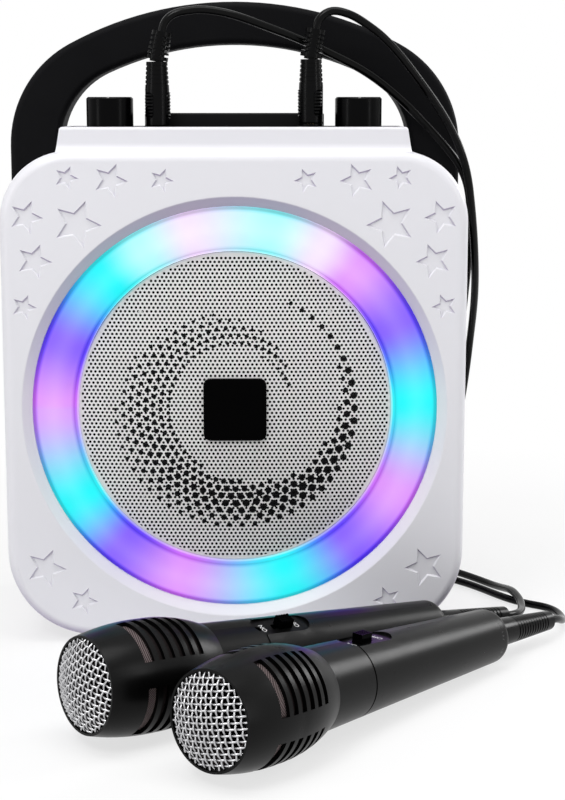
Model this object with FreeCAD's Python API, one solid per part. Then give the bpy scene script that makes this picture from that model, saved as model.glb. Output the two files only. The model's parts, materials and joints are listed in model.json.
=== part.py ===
"""Portable karaoke machine with a light ring, a carry handle and two wired microphones.

Millimetres. X to the right, Y to the back, Z up; the origin is on the floor under the middle of
the cabinet. Depths are measured backwards from the front face of the panel.
"""
import FreeCAD, Part
import math
import os
from FreeCAD import Placement, Rotation, Vector

os.makedirs("parts", exist_ok=True)

# Cabinet, with the width of the panel left beside, below and above the round recess
PANEL_SIDE = 9.1
PANEL_LOW = 10.6
PANEL_HIGH = 21.6
DEPTH = 118.0
BODY_BOTTOM = 3.0
TOP_CORNER = 34.0
BOTTOM_CORNER = 43.0
WALL = 2.5
FRONT_ROUND = 5.0
REAR_ROUND = 6.0
SEAM = 46.0
OVERCUT = 2.0
RUNNING = 0.05
EASY_FIT = 0.25

# Raised lip on the top of the panel
LIP_RISE = 11.2
LIP_HALF = 83.0
LIP_FOOT_HALF = 85.3
LIP_SETBACK = 5.0
LIP_ROUND = 1.5
LIP_COVE = 5.0
DECK_SIDE = 3.0
DECK_LEDGE = 2.5
DECK_DROP = 1.0
DECK_PLATE = 2.5

# Stars pressed into the panel: shares of half the width, of the body's height and of the width
STAR_DEEP = 1.0
STAR_DRAFT = 0.7
STAR_POINTS = 5
STAR_INNER_SHARE = 0.47
STAR_TURN = -3.0
STAR_SHARES = (
    (0.708, 0.947, 0.0267), (0.522, 0.942, 0.0378), (0.306, 0.942, 0.0267), (0.882, 0.869, 0.0373),
    (0.666, 0.855, 0.0533), (0.851, 0.781, 0.0391), (0.900, 0.689, 0.0280), (0.830, 0.147, 0.0453),
    (0.668, 0.077, 0.0320),
)

# Round recess and the parts that stand in it, depths from the front face
RECESS_STEP = 4.9
RECESS_ROUND = 1.2
RECESS_DEEP = 4.0
FUNNEL_WALL = 3.6
FUNNEL_BACK = 9.0
DIFFUSER_R = 98.5
DIFFUSER_WIDE = 21.6
DIFFUSER_CROWN = 2.3
DIFFUSER_EDGE = 4.4
DIFFUSER_SKIN = 2.0
DIFFUSER_FLANGE = 3.5
DIFFUSER_BEVEL = 1.4
DIFFUSER_BEVEL_DEEP = 2.8
FLANGE_THICK = 2.0
INNER_WALL_BACK = 13.0
BOARD_THICK = 1.5
BOARD_MARGIN = 1.3
LED_COUNT = 36
LED_SIZE = 5.0
LED_TALL = 1.6
CARRIER_THICK = 3.0
CARRIER_BORE = 60.0
PAD_COUNT = 6
PAD_R = 3.2
EAR_R = 4.2

# Grille and badge
GRILLE_RIM_DEEP = 7.0
GRILLE_RISE = 4.0
GRILLE_SKIN = 1.0
GRILLE_HOLE = 4.6
GRILLE_PITCH = 8.8
GRILLE_BORDER = 4.9
BADGE_SIDE = 30.7
BADGE_CORNER = 3.5
BADGE_PROUD = 1.6
BADGE_ROUND = 0.6

# Speaker
SPEAKER_R = 70.0
FLANGE_FACE_R = 60.5
FLANGE_STEEL = 2.2
SURROUND_R = 56.0
ROLL_R = 4.0
SURROUND_SKIN = 0.8
SURROUND_LAND = 2.0
CONE_DEEP = 18.5
CONE_SKIN = 0.8
COIL_R = 15.0
COIL_SKIN = 0.8
COIL_LENGTH = 16.0
CAP_R = 18.0
CAP_RISE = 6.0
BASKET_DEEP = 28.5
BASKET_BACK_R = 44.0
BASKET_SKIN = 2.2
BASKET_WINDOWS = 6
WINDOW_SPAN = 36.0
MAGNET_R = 37.0
MAGNET_LENGTH = 18.0
POLE_PLATE = 4.0
COIL_GAP = 0.8
SPEAKER_SCREW_RING = 65.5
SPEAKER_SCREWS = 4

# Case screws, measured from the sides, the top and the bottom of the body
SCREW_TOP_SIDE = 38.5
SCREW_TOP_DROP = 16.0
SCREW_LOW_SIDE = 24.5
SCREW_LOW_RISE = 21.0
BOSS_R = 4.6
SHANK_R = 1.5
HEAD_R = 3.0
HEAD_TALL = 2.4
HEAD_SEAT = 70.0
SHANK_TIP = 28.0
DRIVE_R = 1.1
SMALL_SHANK_R = 1.2
SMALL_HEAD_R = 2.4
SMALL_HEAD_TALL = 1.6
SMALL_SHANK = 5.0

# Carry handle, a three-centre arch
HANDLE_SIDE = 0.2
HANDLE_LEG = 25.0
HANDLE_DEEP = 26.0
HANDLE_RISE = 71.8
HANDLE_THICK = 20.5
HANDLE_SPRING_RISE = 1.0
HANDLE_OUTER_CORNER = 57.0
HANDLE_INNER_CORNER = 40.0
HANDLE_SUNK = 92.0
HANDLE_ROUND = 3.0

# Control deck
CONSOLE_HALF = 43.8
CONSOLE_FRONT = 30.0
CONSOLE_BACK = 42.4
CONSOLE_RISE = 7.3
CONSOLE_WALL = 1.6
CONSOLE_ROUND = 0.8
TRAY_DEEP = 1.6
TRAY_RIM = 1.6
BUTTON_PITCH = 16.5
BUTTON_NAMES = ("mode_button", "previous_button", "play_button", "next_button", "light_button")
BUTTON_LONG = 11.0
BUTTON_WIDE = 5.0
BUTTON_PROUD = 1.3
BUTTON_FLANGE = 0.8
BUTTON_TRAVEL = 1.0
BUTTON_CORNER = 1.2
SWITCH_HALF = 2.4
SWITCH_TALL = 2.0

# Knobs and potentiometers
KNOB_X = 60.2
KNOB_DEPTH = 22.0
KNOB_R = 11.3
KNOB_RISE = 15.1
KNOB_LIFT = 0.6
KNOB_CHAMFER = 0.8
KNOB_MARK_WIDE = 1.2
KNOB_MARK_DEEP = 0.5
SHAFT_R = 3.0
SHAFT_UP = 10.0
POT_R = 8.5
POT_TALL = 9.0
BUSHING_R = 3.6
SHAFT_INSET = 4.0

# Jacks and plugs
PLUG_X = 37.2
PLUG_DEPTH = 22.0
JACK_BODY_R = 8.0
JACK_LONG = 33.0
JACK_BUSHING_R = 4.8
NUT_FLATS = 13.0
NUT_TALL = 1.2
HEX_SIDES = 6
PIN_R = 3.17
PIN_LENGTH = 30.0
PIN_GROOVE = 0.35
PIN_GROOVE_AT = 9.0
PIN_GROOVE_PITCH = 6.0
PIN_GROOVE_COUNT = 2
PIN_NOSE = 2.4
PIN_NOSE_R = 1.9
PLUG_R = 5.85
PLUG_NECK_R = 5.1
PLUG_CHAMFER = 0.6
PLUG_2_OUT = 1.2
PLUG_GRIP_RISE = 18.8
PLUG_RISE = 31.8
GRIP_PADS = 3
GRIP_TURN_1 = -42.0
GRIP_TURN_2 = 38.0
GRIP_LOW = 4.6
GRIP_TALL = 12.7
GRIP_WIDE = 5.2
GRIP_PROUD = 0.6
GRIP_RIDGES = 8
GRIP_RIDGE = 0.35
PLUG_RINGS = 5
PLUG_RING_DEEP = 0.35
PLUG_RING_WIDE = 0.7
PLUG_RING_PITCH = 2.1
RELIEF_R = 5.4
RELIEF_TIP_R = 4.8
RELIEF_CORE_R = 3.4
RELIEF_DEEP = 1.9
RELIEF_COLLAR = 1.8
RELIEF_SPINE = 2.6
RELIEF_LONG = 13.5
RELIEF_RINGS = 5
RELIEF_SLIT = 1.0
RELIEF_TILT_1 = 11.0
RELIEF_TILT_2 = 10.0

# Rear of the cabinet
PLATE_HALF = 42.0
PLATE_MARGIN = 4.0
PLATE_DROP = 50.0
PLATE_TALL = 26.0
PLATE_THICK = 2.5
ROCKER_X = -28.0
ROCKER_HALF = 6.0
ROCKER_TALL = 9.0
ROCKER_PROUD = 3.0
ROCKER_TILT = 8.0
ROCKER_AXLE_R = 1.5
ROCKER_AXLE_IN = 1.6
ROCKER_CASE_DEEP = 14.0
ROCKER_CASE_WALL = 1.6
ROCKER_KEEL_R = 5.0
POWER_INLET_X = -6.0
POWER_INLET_R = 3.2
AUX_X = 8.0
AUX_R = 2.6
CARD_X = 26.0
CARD_HALF = 7.0
CARD_TALL = 3.0
PORT_Z = 78.0
PORT_R = 17.0
PORT_SKIN = 2.0
PORT_FLARE = 5.0
PORT_LENGTH = 34.0
VENT_COUNT = 7
VENT_HALF = 22.0
VENT_TALL = 2.4
VENT_PITCH = 6.0
VENT_Z = 118.0
MAIN_BOARD_HALF = 58.0
MAIN_BOARD_TALL = 30.0
MAIN_BOARD_DROP = 6.0
MAIN_BOARD_GAP = 9.0
STAND_R = 3.5
STAND_IN = 6.0
CHIP_SHARES = ((-0.59, 0.155, 0.086), (0.0, 0.12, 0.052), (0.52, 0.103, 0.138))
BATTERY_HALF = 38.0
BATTERY_TALL = 20.0
BATTERY_FRONT = 74.0
BATTERY_ROUND = 9.0
FOOT_HALF = 64.0
FOOT_FRONT = 16.0
FOOT_BACK = 104.0
FOOT_ROUND = 14.0
FOOT_FRAME = 14.0
FOOT_HOLLOW = 1.4

# Microphone, measured along its axis from the front of the mesh
MESH_R = 19.8
MESH_RISE = 5.0
MESH_SKIN = 0.8
MESH_SEAT = 3.0
CAGE_RIM_R = 20.8
CAGE_MAX_R = 24.2
CAGE_MAX_AT = 35.0
CAGE_BULGE_AT = 17.0
CAGE_BULGE_R = 23.2
CAGE_WAIST_AT = 52.0
CAGE_WAIST_R = 22.6
CAGE_SKIN = 1.8
CAGE_END = 65.0
CAGE_END_R = 18.6
SLOT_GROUPS = 4
SLOT_SPAN = 64.0
SLOT_FROM = 21.0
SLOT_FIRST = 4.6
SLOT_WIDE = 2.9
SLOT_PITCH = 5.3
SLOT_COUNT = 6
FOAM_SKIN = 2.0
CAPSULE_R = 12.0
CAPSULE_AT = 28.0
CAPSULE_NECK_R = 8.0
CAPSULE_NECK_AT = 54.0
TUBE_R = 18.4
TUBE_SHOULDER_AT = 92.0
TUBE_SHOULDER_R = 17.3
TUBE_TAIL_AT = 198.0
TUBE_TAIL_R = 13.2
TUBE_END = 206.0
TUBE_END_R = 9.5
TUBE_SKIN = 2.2
TUBE_GROOVE = 0.4
TUBE_GROOVE_WIDE = 0.9
SWITCH_AT = 104.5
SWITCH_PLATE_LONG = 32.0
SWITCH_PLATE_WIDE = 12.0
SWITCH_PLATE_DEEP = 1.2
SLIDER_LONG = 9.0
SLIDER_WIDE = 6.5
SLIDER_TALL = 4.2
SLIDER_TRAVEL = 4.0
SLIDER_STEM_WIDE = 2.6
SLIDER_STEM_LONG = 4.0
SLIDER_RIBS = 5
SLIDER_ROWS = 4
SLIDER_RIB = 0.35
BOOT_NECK_R = 7.6
BOOT_NECK = 5.0
BOOT_LONG = 49.5
BOOT_BASE_R = 7.2
BOOT_TIP_R = 4.8
BOOT_CORE_R = 3.2
BOOT_COLLAR = 15.0
BOOT_RINGS = 12
BOOT_SLIT = 0.9
BOOT_GROOVE = 1.1
BOOT_TIP = 4.5

# Microphone places on the floor: middle of the head's rim, direction, roll, turns of head and boot
MIC_SLOPE = 3.9
MIC_1_X = -8.0
MIC_1_Y = -246.8
MIC_1_HEADING = 40.0
MIC_1_ROLL = 3.0
MIC_1_HEAD = 3.0
MIC_1_BOOT = 4.0
MIC_2_X = -60.8
MIC_2_Y = -203.9
MIC_2_HEADING = 51.1
MIC_2_ROLL = 20.0
MIC_2_HEAD = -39.0
MIC_2_BOOT = 2.0

# Cords: the route's points in millimetres, between the ends that the pieces give
CORD_R = 2.0
CORD_ARC_SHARE = 0.48
PLUG_LEAD = 1.4
BOOT_LEAD = 7.8
COIL_LEAD = 8.0
COIL_PITCH = 4.5
COIL_TURNS = 3
COIL_LIFT = 3.0
COIL_SAMPLES = 800
TIE_SKIN = 1.0
TIE_WIDE = 6.0
TIE_EASE = 0.6
CORD_1_COIL = (-5.0, 108.0, 25.6)
CORD_2_COIL = (68.0, 118.0, 29.6)
CORD_1_UPPER = (
    (-33.44, -37.0, 302.22), (-31.74, -37.0, 304.51), (-29.43, -37.0, 306.25), (-26.35, -37.0, 307.44),
    (-21.99, -36.9, 308.05), (-17.2, -36.4, 308.7), (-10.6, -35.6, 308.3), (-3.0, -34.2, 307.0),
    (5.4, -32.0, 304.6), (15.6, -29.2, 301.0), (30.0, -26.2, 295.9),
    (48.0, -24.4, 288.0), (66.0, -23.2, 279.0), (83.0, -22.5, 265.6), (97.5, -22.3, 250.6),
    (107.5, -22.5, 239.6), (114.3, -20.5, 229.5), (118.3, -12.0, 217.0), (120.2, 1.0, 200.0),
    (120.9, 14.0, 182.0), (121.0, 27.0, 163.5), (120.6, 39.5, 144.0), (119.8, 51.0, 123.5),
    (118.2, 60.0, 102.0), (115.2, 66.8, 80.5), (110.2, 71.0, 60.0), (103.0, 73.6, 42.0),
    (93.5, 75.0, 27.5), (82.0, 75.8, 16.0), (69.0, 76.2, 8.5), (55.5, 76.3, 4.3),
    (43.0, 76.8, 2.6), (32.0, 79.6, 2.5), (24.2, 86.4, 2.6),
)
CORD_2_UPPER = (
    (40.58, -37.0, 303.30), (42.08, -37.0, 305.42), (44.14, -37.0, 307.01),
    (46.57, -37.0, 307.94), (49.26, -37.0, 308.12), (52.61, -37.0, 307.51),
    (58.2, -36.1, 305.6), (65.8, -35.0, 300.7), (72.2, -34.0, 296.0), (81.4, -32.4, 286.6),
    (93.3, -30.4, 271.4), (101.2, -29.4, 260.6), (107.6, -29.0, 249.6), (112.0, -28.4, 239.6),
    (115.6, -25.5, 227.8), (118.6, -17.0, 212.0), (121.6, -5.0, 195.0), (124.0, 8.0, 178.5),
    (125.6, 21.0, 165.0), (126.4, 33.5, 152.5), (126.6, 45.0, 139.5), (126.3, 54.0, 124.0),
    (125.0, 62.0, 105.0), (122.8, 69.5, 85.0), (120.0, 76.0, 65.5), (116.5, 82.5, 46.0),
    (112.4, 87.3, 29.0), (107.8, 91.2, 16.0), (103.0, 94.8, 8.0), (99.4, 99.4, 4.2),
)
CORD_1_LOWER = (
    (-29.8, 86.5, 6.0), (-26.8, 77.5, 3.6), (-20.0, 70.3, 2.3), (-10.0, 66.6, 2.05), (4.0, 65.3, 2.05),
    (22.0, 65.8, 2.05), (42.0, 66.8, 2.05), (62.0, 67.2, 2.05), (79.0, 66.6, 2.05), (93.5, 64.8, 2.05),
    (106.3, 60.0, 2.05), (116.6, 51.2, 2.05), (125.6, 41.0, 2.05), (133.0, 29.6, 2.05),
    (139.6, 17.8, 2.05), (146.3, 7.2, 2.05), (154.2, -0.6, 2.05), (162.0, -6.0, 2.05),
    (166.3, -12.6, 2.05), (168.0, -21.5, 2.05), (167.6, -31.0, 2.6), (165.4, -40.6, 5.2),
)
CORD_2_LOWER = (
    (39.4, 98.0, 6.2), (43.4, 90.2, 4.2), (50.8, 84.6, 2.7), (61.0, 82.0, 2.1), (73.0, 81.7, 2.05),
    (86.0, 82.2, 2.05), (98.5, 81.0, 2.05), (109.7, 77.0, 2.05), (118.6, 69.2, 2.05),
    (125.6, 60.6, 2.05), (131.6, 51.4, 2.05), (137.0, 42.4, 2.05), (141.2, 33.0, 2.6),
    (144.0, 23.0, 4.2), (145.9, 14.0, 6.0), (147.2, 5.5, 7.1), (148.4, -4.5, 7.0), (148.6, -14.5, 6.4),
    (147.3, -24.5, 6.3), (144.9, -34.0, 7.4),
)

FULL_TURN = 360.0
HALF_TURN = 180.0
QUARTER_TURN = 90.0
FRONT = -DEPTH / 2
RECESS_R = DIFFUSER_R + RECESS_STEP
DIFFUSER_BORE = DIFFUSER_R - DIFFUSER_WIDE
FUNNEL_R = RECESS_R + FUNNEL_WALL
PAD_RADIUS = DIFFUSER_R + DIFFUSER_FLANGE + EAR_R
GRILLE_FIELD_R = DIFFUSER_BORE - GRILLE_BORDER
HALF_WIDTH = RECESS_R + PANEL_SIDE
WIDTH = 2 * HALF_WIDTH
RING_Z = BODY_BOTTOM + PANEL_LOW + RECESS_R
BODY_TOP = RING_Z + RECESS_R + PANEL_HIGH
LIP_TOP = BODY_TOP + LIP_RISE
DECK_TOP = LIP_TOP - DECK_DROP
DECK_SEAT = DECK_TOP - DECK_PLATE
CONSOLE_TOP = DECK_TOP + CONSOLE_RISE
TRAY_TOP = CONSOLE_TOP - TRAY_DEEP
KNOB_TOP = DECK_TOP + KNOB_RISE
PLUG_GRIP_TOP = DECK_TOP + PLUG_GRIP_RISE
PLUG_TOP = DECK_TOP + PLUG_RISE
HANDLE_HALF = HALF_WIDTH - HANDLE_SIDE
HANDLE_TOP = BODY_TOP + HANDLE_RISE
HANDLE_SPRING = BODY_TOP + HANDLE_SPRING_RISE
HANDLE_FOOT = BODY_TOP - HANDLE_SUNK
PLATE_HIGH = BODY_TOP - PLATE_DROP
PLATE_LOW = PLATE_HIGH - PLATE_TALL
MAIN_BOARD_HIGH = PLATE_LOW - MAIN_BOARD_DROP
MAIN_BOARD_LOW = MAIN_BOARD_HIGH - MAIN_BOARD_TALL
UP = Vector(0, 0, 1)
BACKWARDS = Vector(0, 1, 0)
ACROSS = Vector(1, 0, 0)


def keep(name, shape):
    """Write one node's STEP and print what is wrong with it, if anything."""
    if not shape.isValid() or not shape.Solids:
        print("CHECK", name, "valid:", shape.isValid(), "solids:", len(shape.Solids))
    shape.exportStep("parts/" + name + ".step")
    return shape


def box(x0, x1, y0, y1, z0, z1):
    return Part.makeBox(x1 - x0, y1 - y0, z1 - z0, Vector(x0, y0, z0))


def rod(start, direction, radius, length):
    return Part.makeCylinder(radius, length, start, direction)


def joined(shapes):
    shapes = list(shapes)
    whole = shapes[0].multiFuse(shapes[1:]) if len(shapes) > 1 else shapes[0]
    return whole.removeSplitter()


def face_of(path, place):
    """Closed face. A step is a point, or a pair of points for an arc through the first one."""
    edges = []
    here = path[0]
    for step in path[1:]:
        if isinstance(step[0], tuple):
            via, there = step
            edges.append(Part.Arc(place(*here), place(*via), place(*there)).toShape())
        else:
            there = step
            edges.append(Part.makeLine(place(*here), place(*there)))
        here = there
    if here != path[0]:
        edges.append(Part.makeLine(place(*here), place(*path[0])))
    return Part.Face(Part.Wire(edges))


def on_ring(radius, deep):
    return Vector(radius, FRONT + deep, RING_Z)


def ring_turned(path, angle=FULL_TURN):
    """Solid of revolution about the speaker's axis, from (radius, depth) points."""
    return face_of(path, on_ring).revolve(Vector(0, 0, RING_Z), BACKWARDS, angle)


def upright_turned(path, x, y):
    """Solid of revolution about an upright axis, from (radius, height) points."""
    def place(radius, height):
        return Vector(x + radius, y, height)
    return face_of(path, place).revolve(Vector(x, y, 0), UP, FULL_TURN)


def mic_turned(path, angle=FULL_TURN):
    """Solid of revolution about the microphone's own axis, from (along, radius) points."""
    def place(along, radius):
        return Vector(along, 0, radius)
    return face_of(path, place).revolve(Vector(0, 0, 0), ACROSS, angle)


def around(radius, count, first=0.0):
    """Points on a circle about the speaker's axis, as (x, z) pairs."""
    steps = [math.radians(first + FULL_TURN * i / count) for i in range(count)]
    return [(radius * math.cos(a), RING_Z + radius * math.sin(a)) for a in steps]


def rounded_plate(half_x, low, high, radius, y0, y1, top_radius=None):
    """Prism along Y with rounded corners; the upper corners may have their own radius."""
    upper = radius if top_radius is None else top_radius
    k = math.cos(math.radians(HALF_TURN / 4))
    path = [
        (half_x, low + radius),
        (half_x, high - upper),
        ((half_x - upper + upper * k, high - upper + upper * k), (half_x - upper, high)),
        (upper - half_x, high),
        ((upper - half_x - upper * k, high - upper + upper * k), (-half_x, high - upper)),
        (-half_x, low + radius),
        ((radius - half_x - radius * k, low + radius - radius * k), (radius - half_x, low)),
        (half_x - radius, low),
        ((half_x - radius + radius * k, low + radius - radius * k), (half_x, low + radius)),
    ]

    def place(x, z):
        return Vector(x, y0, z)
    return face_of(path, place).extrude(Vector(0, y1 - y0, 0))


def body_prism(inset, y0, y1):
    return rounded_plate(HALF_WIDTH - inset, BODY_BOTTOM + inset, BODY_TOP - inset,
                         BOTTOM_CORNER - inset, y0, y1, TOP_CORNER - inset)


def edges_at_y(shape, y):
    return [e for e in shape.Edges if all(abs(v.Y - y) < RUNNING for v in e.Vertexes)]


def screw_places():
    places = ((HALF_WIDTH - SCREW_TOP_SIDE, BODY_TOP - SCREW_TOP_DROP),
              (HALF_WIDTH - SCREW_LOW_SIDE, BODY_BOTTOM + SCREW_LOW_RISE))
    return [(side * x, z) for x, z in places for side in (-1, 1)]


def screw(place, direction, shank_r, shank, head_r, head):
    """A screw whose head's underside is at the place given, with a round drive recess."""
    turned_head = rod(place, direction * -1, head_r, head)
    drive = rod(place - direction * head, direction, DRIVE_R, head / 2)
    return joined([turned_head, rod(place, direction, shank_r, shank)]).cut(drive)


# Front panel

def star_outline(x, z, radius, turn, y, grow):
    """Closed outline of a star whose edges stand further out by the growth given."""
    half = math.radians(HALF_TURN / STAR_POINTS)
    dip = STAR_INNER_SHARE
    edge = math.hypot(1 - dip * math.cos(half), dip * math.sin(half))
    reach = radius + grow * edge / (dip * math.sin(half))
    points = []
    for i in range(2 * STAR_POINTS):
        out = reach if i % 2 == 0 else reach * dip
        angle = math.radians(turn) + half * i
        points.append(Vector(x + out * math.cos(angle), y, z + out * math.sin(angle)))
    return Part.makePolygon(points + points[:1])


def star(x, z, radius, turn):
    """Star with sloping sides, from just in front of the panel's face to its flat floor."""
    slope = STAR_DRAFT / STAR_DEEP
    mouth = star_outline(x, z, radius, turn, FRONT - RUNNING, slope * RUNNING)
    floor = star_outline(x, z, radius, turn, FRONT + STAR_DEEP, -STAR_DRAFT)
    return Part.makeLoft([mouth, floor], True, True)


def lip_cove():
    """Fill in front of the lip's foot, hollowed from the lip's face to the panel's rounded edge."""
    span = FRONT_ROUND + LIP_COVE
    lean = FRONT_ROUND + LIP_COVE - LIP_SETBACK
    rise = math.sqrt(span ** 2 - lean ** 2) - FRONT_ROUND - RUNNING
    middle = LIP_SETBACK - LIP_COVE
    sweep = math.atan2(-FRONT_ROUND - rise, lean)

    def on_curve(angle):
        return middle + LIP_COVE * math.cos(angle), rise + LIP_COVE * math.sin(angle)
    foot = on_curve(sweep)
    path = [(LIP_SETBACK, rise), (LIP_SETBACK, -WALL), (foot[0], -WALL), foot,
            (on_curve(sweep / 2), (LIP_SETBACK, rise))]

    def place(deep, up):
        return Vector(-LIP_FOOT_HALF, FRONT + deep, BODY_TOP + up)
    return face_of(path, place).extrude(Vector(2 * LIP_FOOT_HALF, 0, 0))


def front_panel():
    shell = body_prism(0, FRONT, FRONT + SEAM)
    shell = shell.makeFillet(FRONT_ROUND, edges_at_y(shell, FRONT))
    shell = shell.cut(body_prism(WALL, FRONT + WALL, FRONT + SEAM + OVERCUT))

    def place(x, z):
        return Vector(x, FRONT + LIP_SETBACK, z)
    low = BODY_TOP - WALL
    lip_path = [(-LIP_FOOT_HALF, low), (-LIP_HALF, LIP_TOP), (LIP_HALF, LIP_TOP), (LIP_FOOT_HALF, low)]
    lip_face = face_of(lip_path, place)
    lip = lip_face.extrude(Vector(0, SEAM - LIP_SETBACK, 0))
    crest = [e for e in lip.Edges if all(abs(v.Z - LIP_TOP) < RUNNING for v in e.Vertexes)]
    lip = lip.makeFillet(LIP_ROUND, crest)
    cove = lip_cove().common(lip_face.extrude(Vector(0, -LIP_SETBACK, 0)))

    funnel = ring_turned([(RECESS_R, WALL), (FUNNEL_R, WALL), (FUNNEL_R, FUNNEL_BACK),
                          (DIFFUSER_R + EASY_FIT, FUNNEL_BACK), (DIFFUSER_R + EASY_FIT, WALL)])
    bosses = [rod(Vector(x, FRONT + WALL, z), BACKWARDS, BOSS_R, SEAM - WALL) for x, z in screw_places()]
    pads = [rod(Vector(x, FRONT + WALL, z), BACKWARDS, PAD_R, INNER_WALL_BACK + BOARD_THICK - WALL)
            for x, z in around(PAD_RADIUS, PAD_COUNT, HALF_TURN / PAD_COUNT)]
    shell = joined([shell, lip, cove, funnel] + bosses + pads)

    mouth = ring_turned([(0, -OVERCUT), (RECESS_R, -OVERCUT), (RECESS_R, 0),
                         (DIFFUSER_R + EASY_FIT, RECESS_DEEP), (DIFFUSER_R + EASY_FIT, FUNNEL_BACK + OVERCUT),
                         (0, FUNNEL_BACK + OVERCUT)])
    shell = shell.cut(mouth)
    rim = [e for e in edges_at_y(shell, FRONT) if isinstance(e.Curve, Part.Circle)
           and abs(e.Curve.Radius - RECESS_R) < RUNNING]
    shell = shell.makeFillet(RECESS_ROUND, rim)

    upper = deck_space(0, DECK_SEAT, LIP_TOP + OVERCUT)
    lower = deck_space(DECK_LEDGE, BODY_TOP - WALL - OVERCUT, DECK_SEAT + OVERCUT)
    pilots = [rod(Vector(x, FRONT + SHANK_TIP, z), BACKWARDS, SHANK_R, SEAM - SHANK_TIP + OVERCUT)
              for x, z in screw_places()]
    stars = [star(side * across * HALF_WIDTH, BODY_BOTTOM + up * (BODY_TOP - BODY_BOTTOM), reach * WIDTH,
                  STAR_TURN if side < 0 else HALF_TURN - STAR_TURN)
             for across, up, reach in STAR_SHARES for side in (-1, 1)]
    return shell.cut(Part.makeCompound([upper, lower] + pilots + stars))


def deck_space(inset, low, high):
    half = LIP_HALF - DECK_SIDE - inset
    return box(-half, half, FRONT + LIP_SETBACK + DECK_SIDE + inset, FRONT + SEAM - DECK_SIDE - inset,
               low, high)


# Light ring

def light_ring():
    edge_in = DIFFUSER_BORE + DIFFUSER_BEVEL
    middle = (DIFFUSER_R + edge_in) / 2
    skin = DIFFUSER_SKIN
    flange_back = FUNNEL_BACK + FLANGE_THICK
    diffuser = ring_turned([
        (DIFFUSER_R, FUNNEL_BACK), (DIFFUSER_R, DIFFUSER_EDGE),
        ((middle, DIFFUSER_CROWN), (edge_in, DIFFUSER_EDGE)),
        (DIFFUSER_BORE, DIFFUSER_EDGE + DIFFUSER_BEVEL_DEEP), (DIFFUSER_BORE, INNER_WALL_BACK),
        (DIFFUSER_BORE + skin, INNER_WALL_BACK), (DIFFUSER_BORE + skin, DIFFUSER_EDGE + DIFFUSER_BEVEL_DEEP),
        (edge_in + skin, DIFFUSER_EDGE + skin),
        ((middle, DIFFUSER_CROWN + skin), (DIFFUSER_R - skin, DIFFUSER_EDGE + skin)),
        (DIFFUSER_R - skin, flange_back), (DIFFUSER_R + DIFFUSER_FLANGE, flange_back),
        (DIFFUSER_R + DIFFUSER_FLANGE, FUNNEL_BACK),
    ])
    board_in = DIFFUSER_BORE + skin + BOARD_MARGIN
    board_out = DIFFUSER_R - skin - BOARD_MARGIN
    board_back = INNER_WALL_BACK + BOARD_THICK
    board = ring_turned([(board_in, INNER_WALL_BACK), (board_out, INNER_WALL_BACK),
                         (board_out, board_back), (board_in, board_back)])
    lights = []
    lens = box(-LED_SIZE / 2, LED_SIZE / 2, FRONT + INNER_WALL_BACK - LED_TALL, FRONT + INNER_WALL_BACK,
               RING_Z + middle - LED_SIZE / 2, RING_Z + middle + LED_SIZE / 2)
    for i in range(LED_COUNT):
        light = lens.copy()
        light.rotate(Vector(0, 0, RING_Z), BACKWARDS, FULL_TURN * i / LED_COUNT)
        lights.append(light)
    clamp_out = DIFFUSER_R + DIFFUSER_FLANGE
    back = board_back + CARRIER_THICK
    carrier = joined([
        ring_turned([(CARRIER_BORE, board_back), (clamp_out, board_back), (clamp_out, back),
                     (CARRIER_BORE, back)]),
        ring_turned([(DIFFUSER_R - skin, flange_back), (clamp_out, flange_back), (clamp_out, board_back),
                     (DIFFUSER_R - skin, board_back)]),
        ring_turned([(DIFFUSER_BORE, INNER_WALL_BACK), (board_in - EASY_FIT, INNER_WALL_BACK),
                     (board_in - EASY_FIT, board_back), (DIFFUSER_BORE, board_back)]),
    ] + [rod(Vector(x, FRONT + board_back, z), BACKWARDS, EAR_R, CARRIER_THICK)
         for x, z in around(PAD_RADIUS, PAD_COUNT, HALF_TURN / PAD_COUNT)])
    holes = [rod(Vector(x, FRONT + board_back, z), BACKWARDS, SMALL_SHANK_R, CARRIER_THICK)
             for x, z in around(SPEAKER_SCREW_RING, SPEAKER_SCREWS, HALF_TURN / SPEAKER_SCREWS)]
    return diffuser, joined([board] + lights), carrier.cut(Part.makeCompound(holes))


# Grille, badge and speaker

def grille_radius():
    return DIFFUSER_BORE - EASY_FIT


def grille_ball(offset):
    """Ball whose cap is the grille's dome; offset moves the skin backwards."""
    reach = grille_radius()
    ball_r = (reach ** 2 + GRILLE_RISE ** 2) / (2 * GRILLE_RISE)
    apex = GRILLE_RIM_DEEP - GRILLE_RISE
    return Part.makeSphere(ball_r - offset, Vector(0, FRONT + apex + ball_r, RING_Z))


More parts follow.
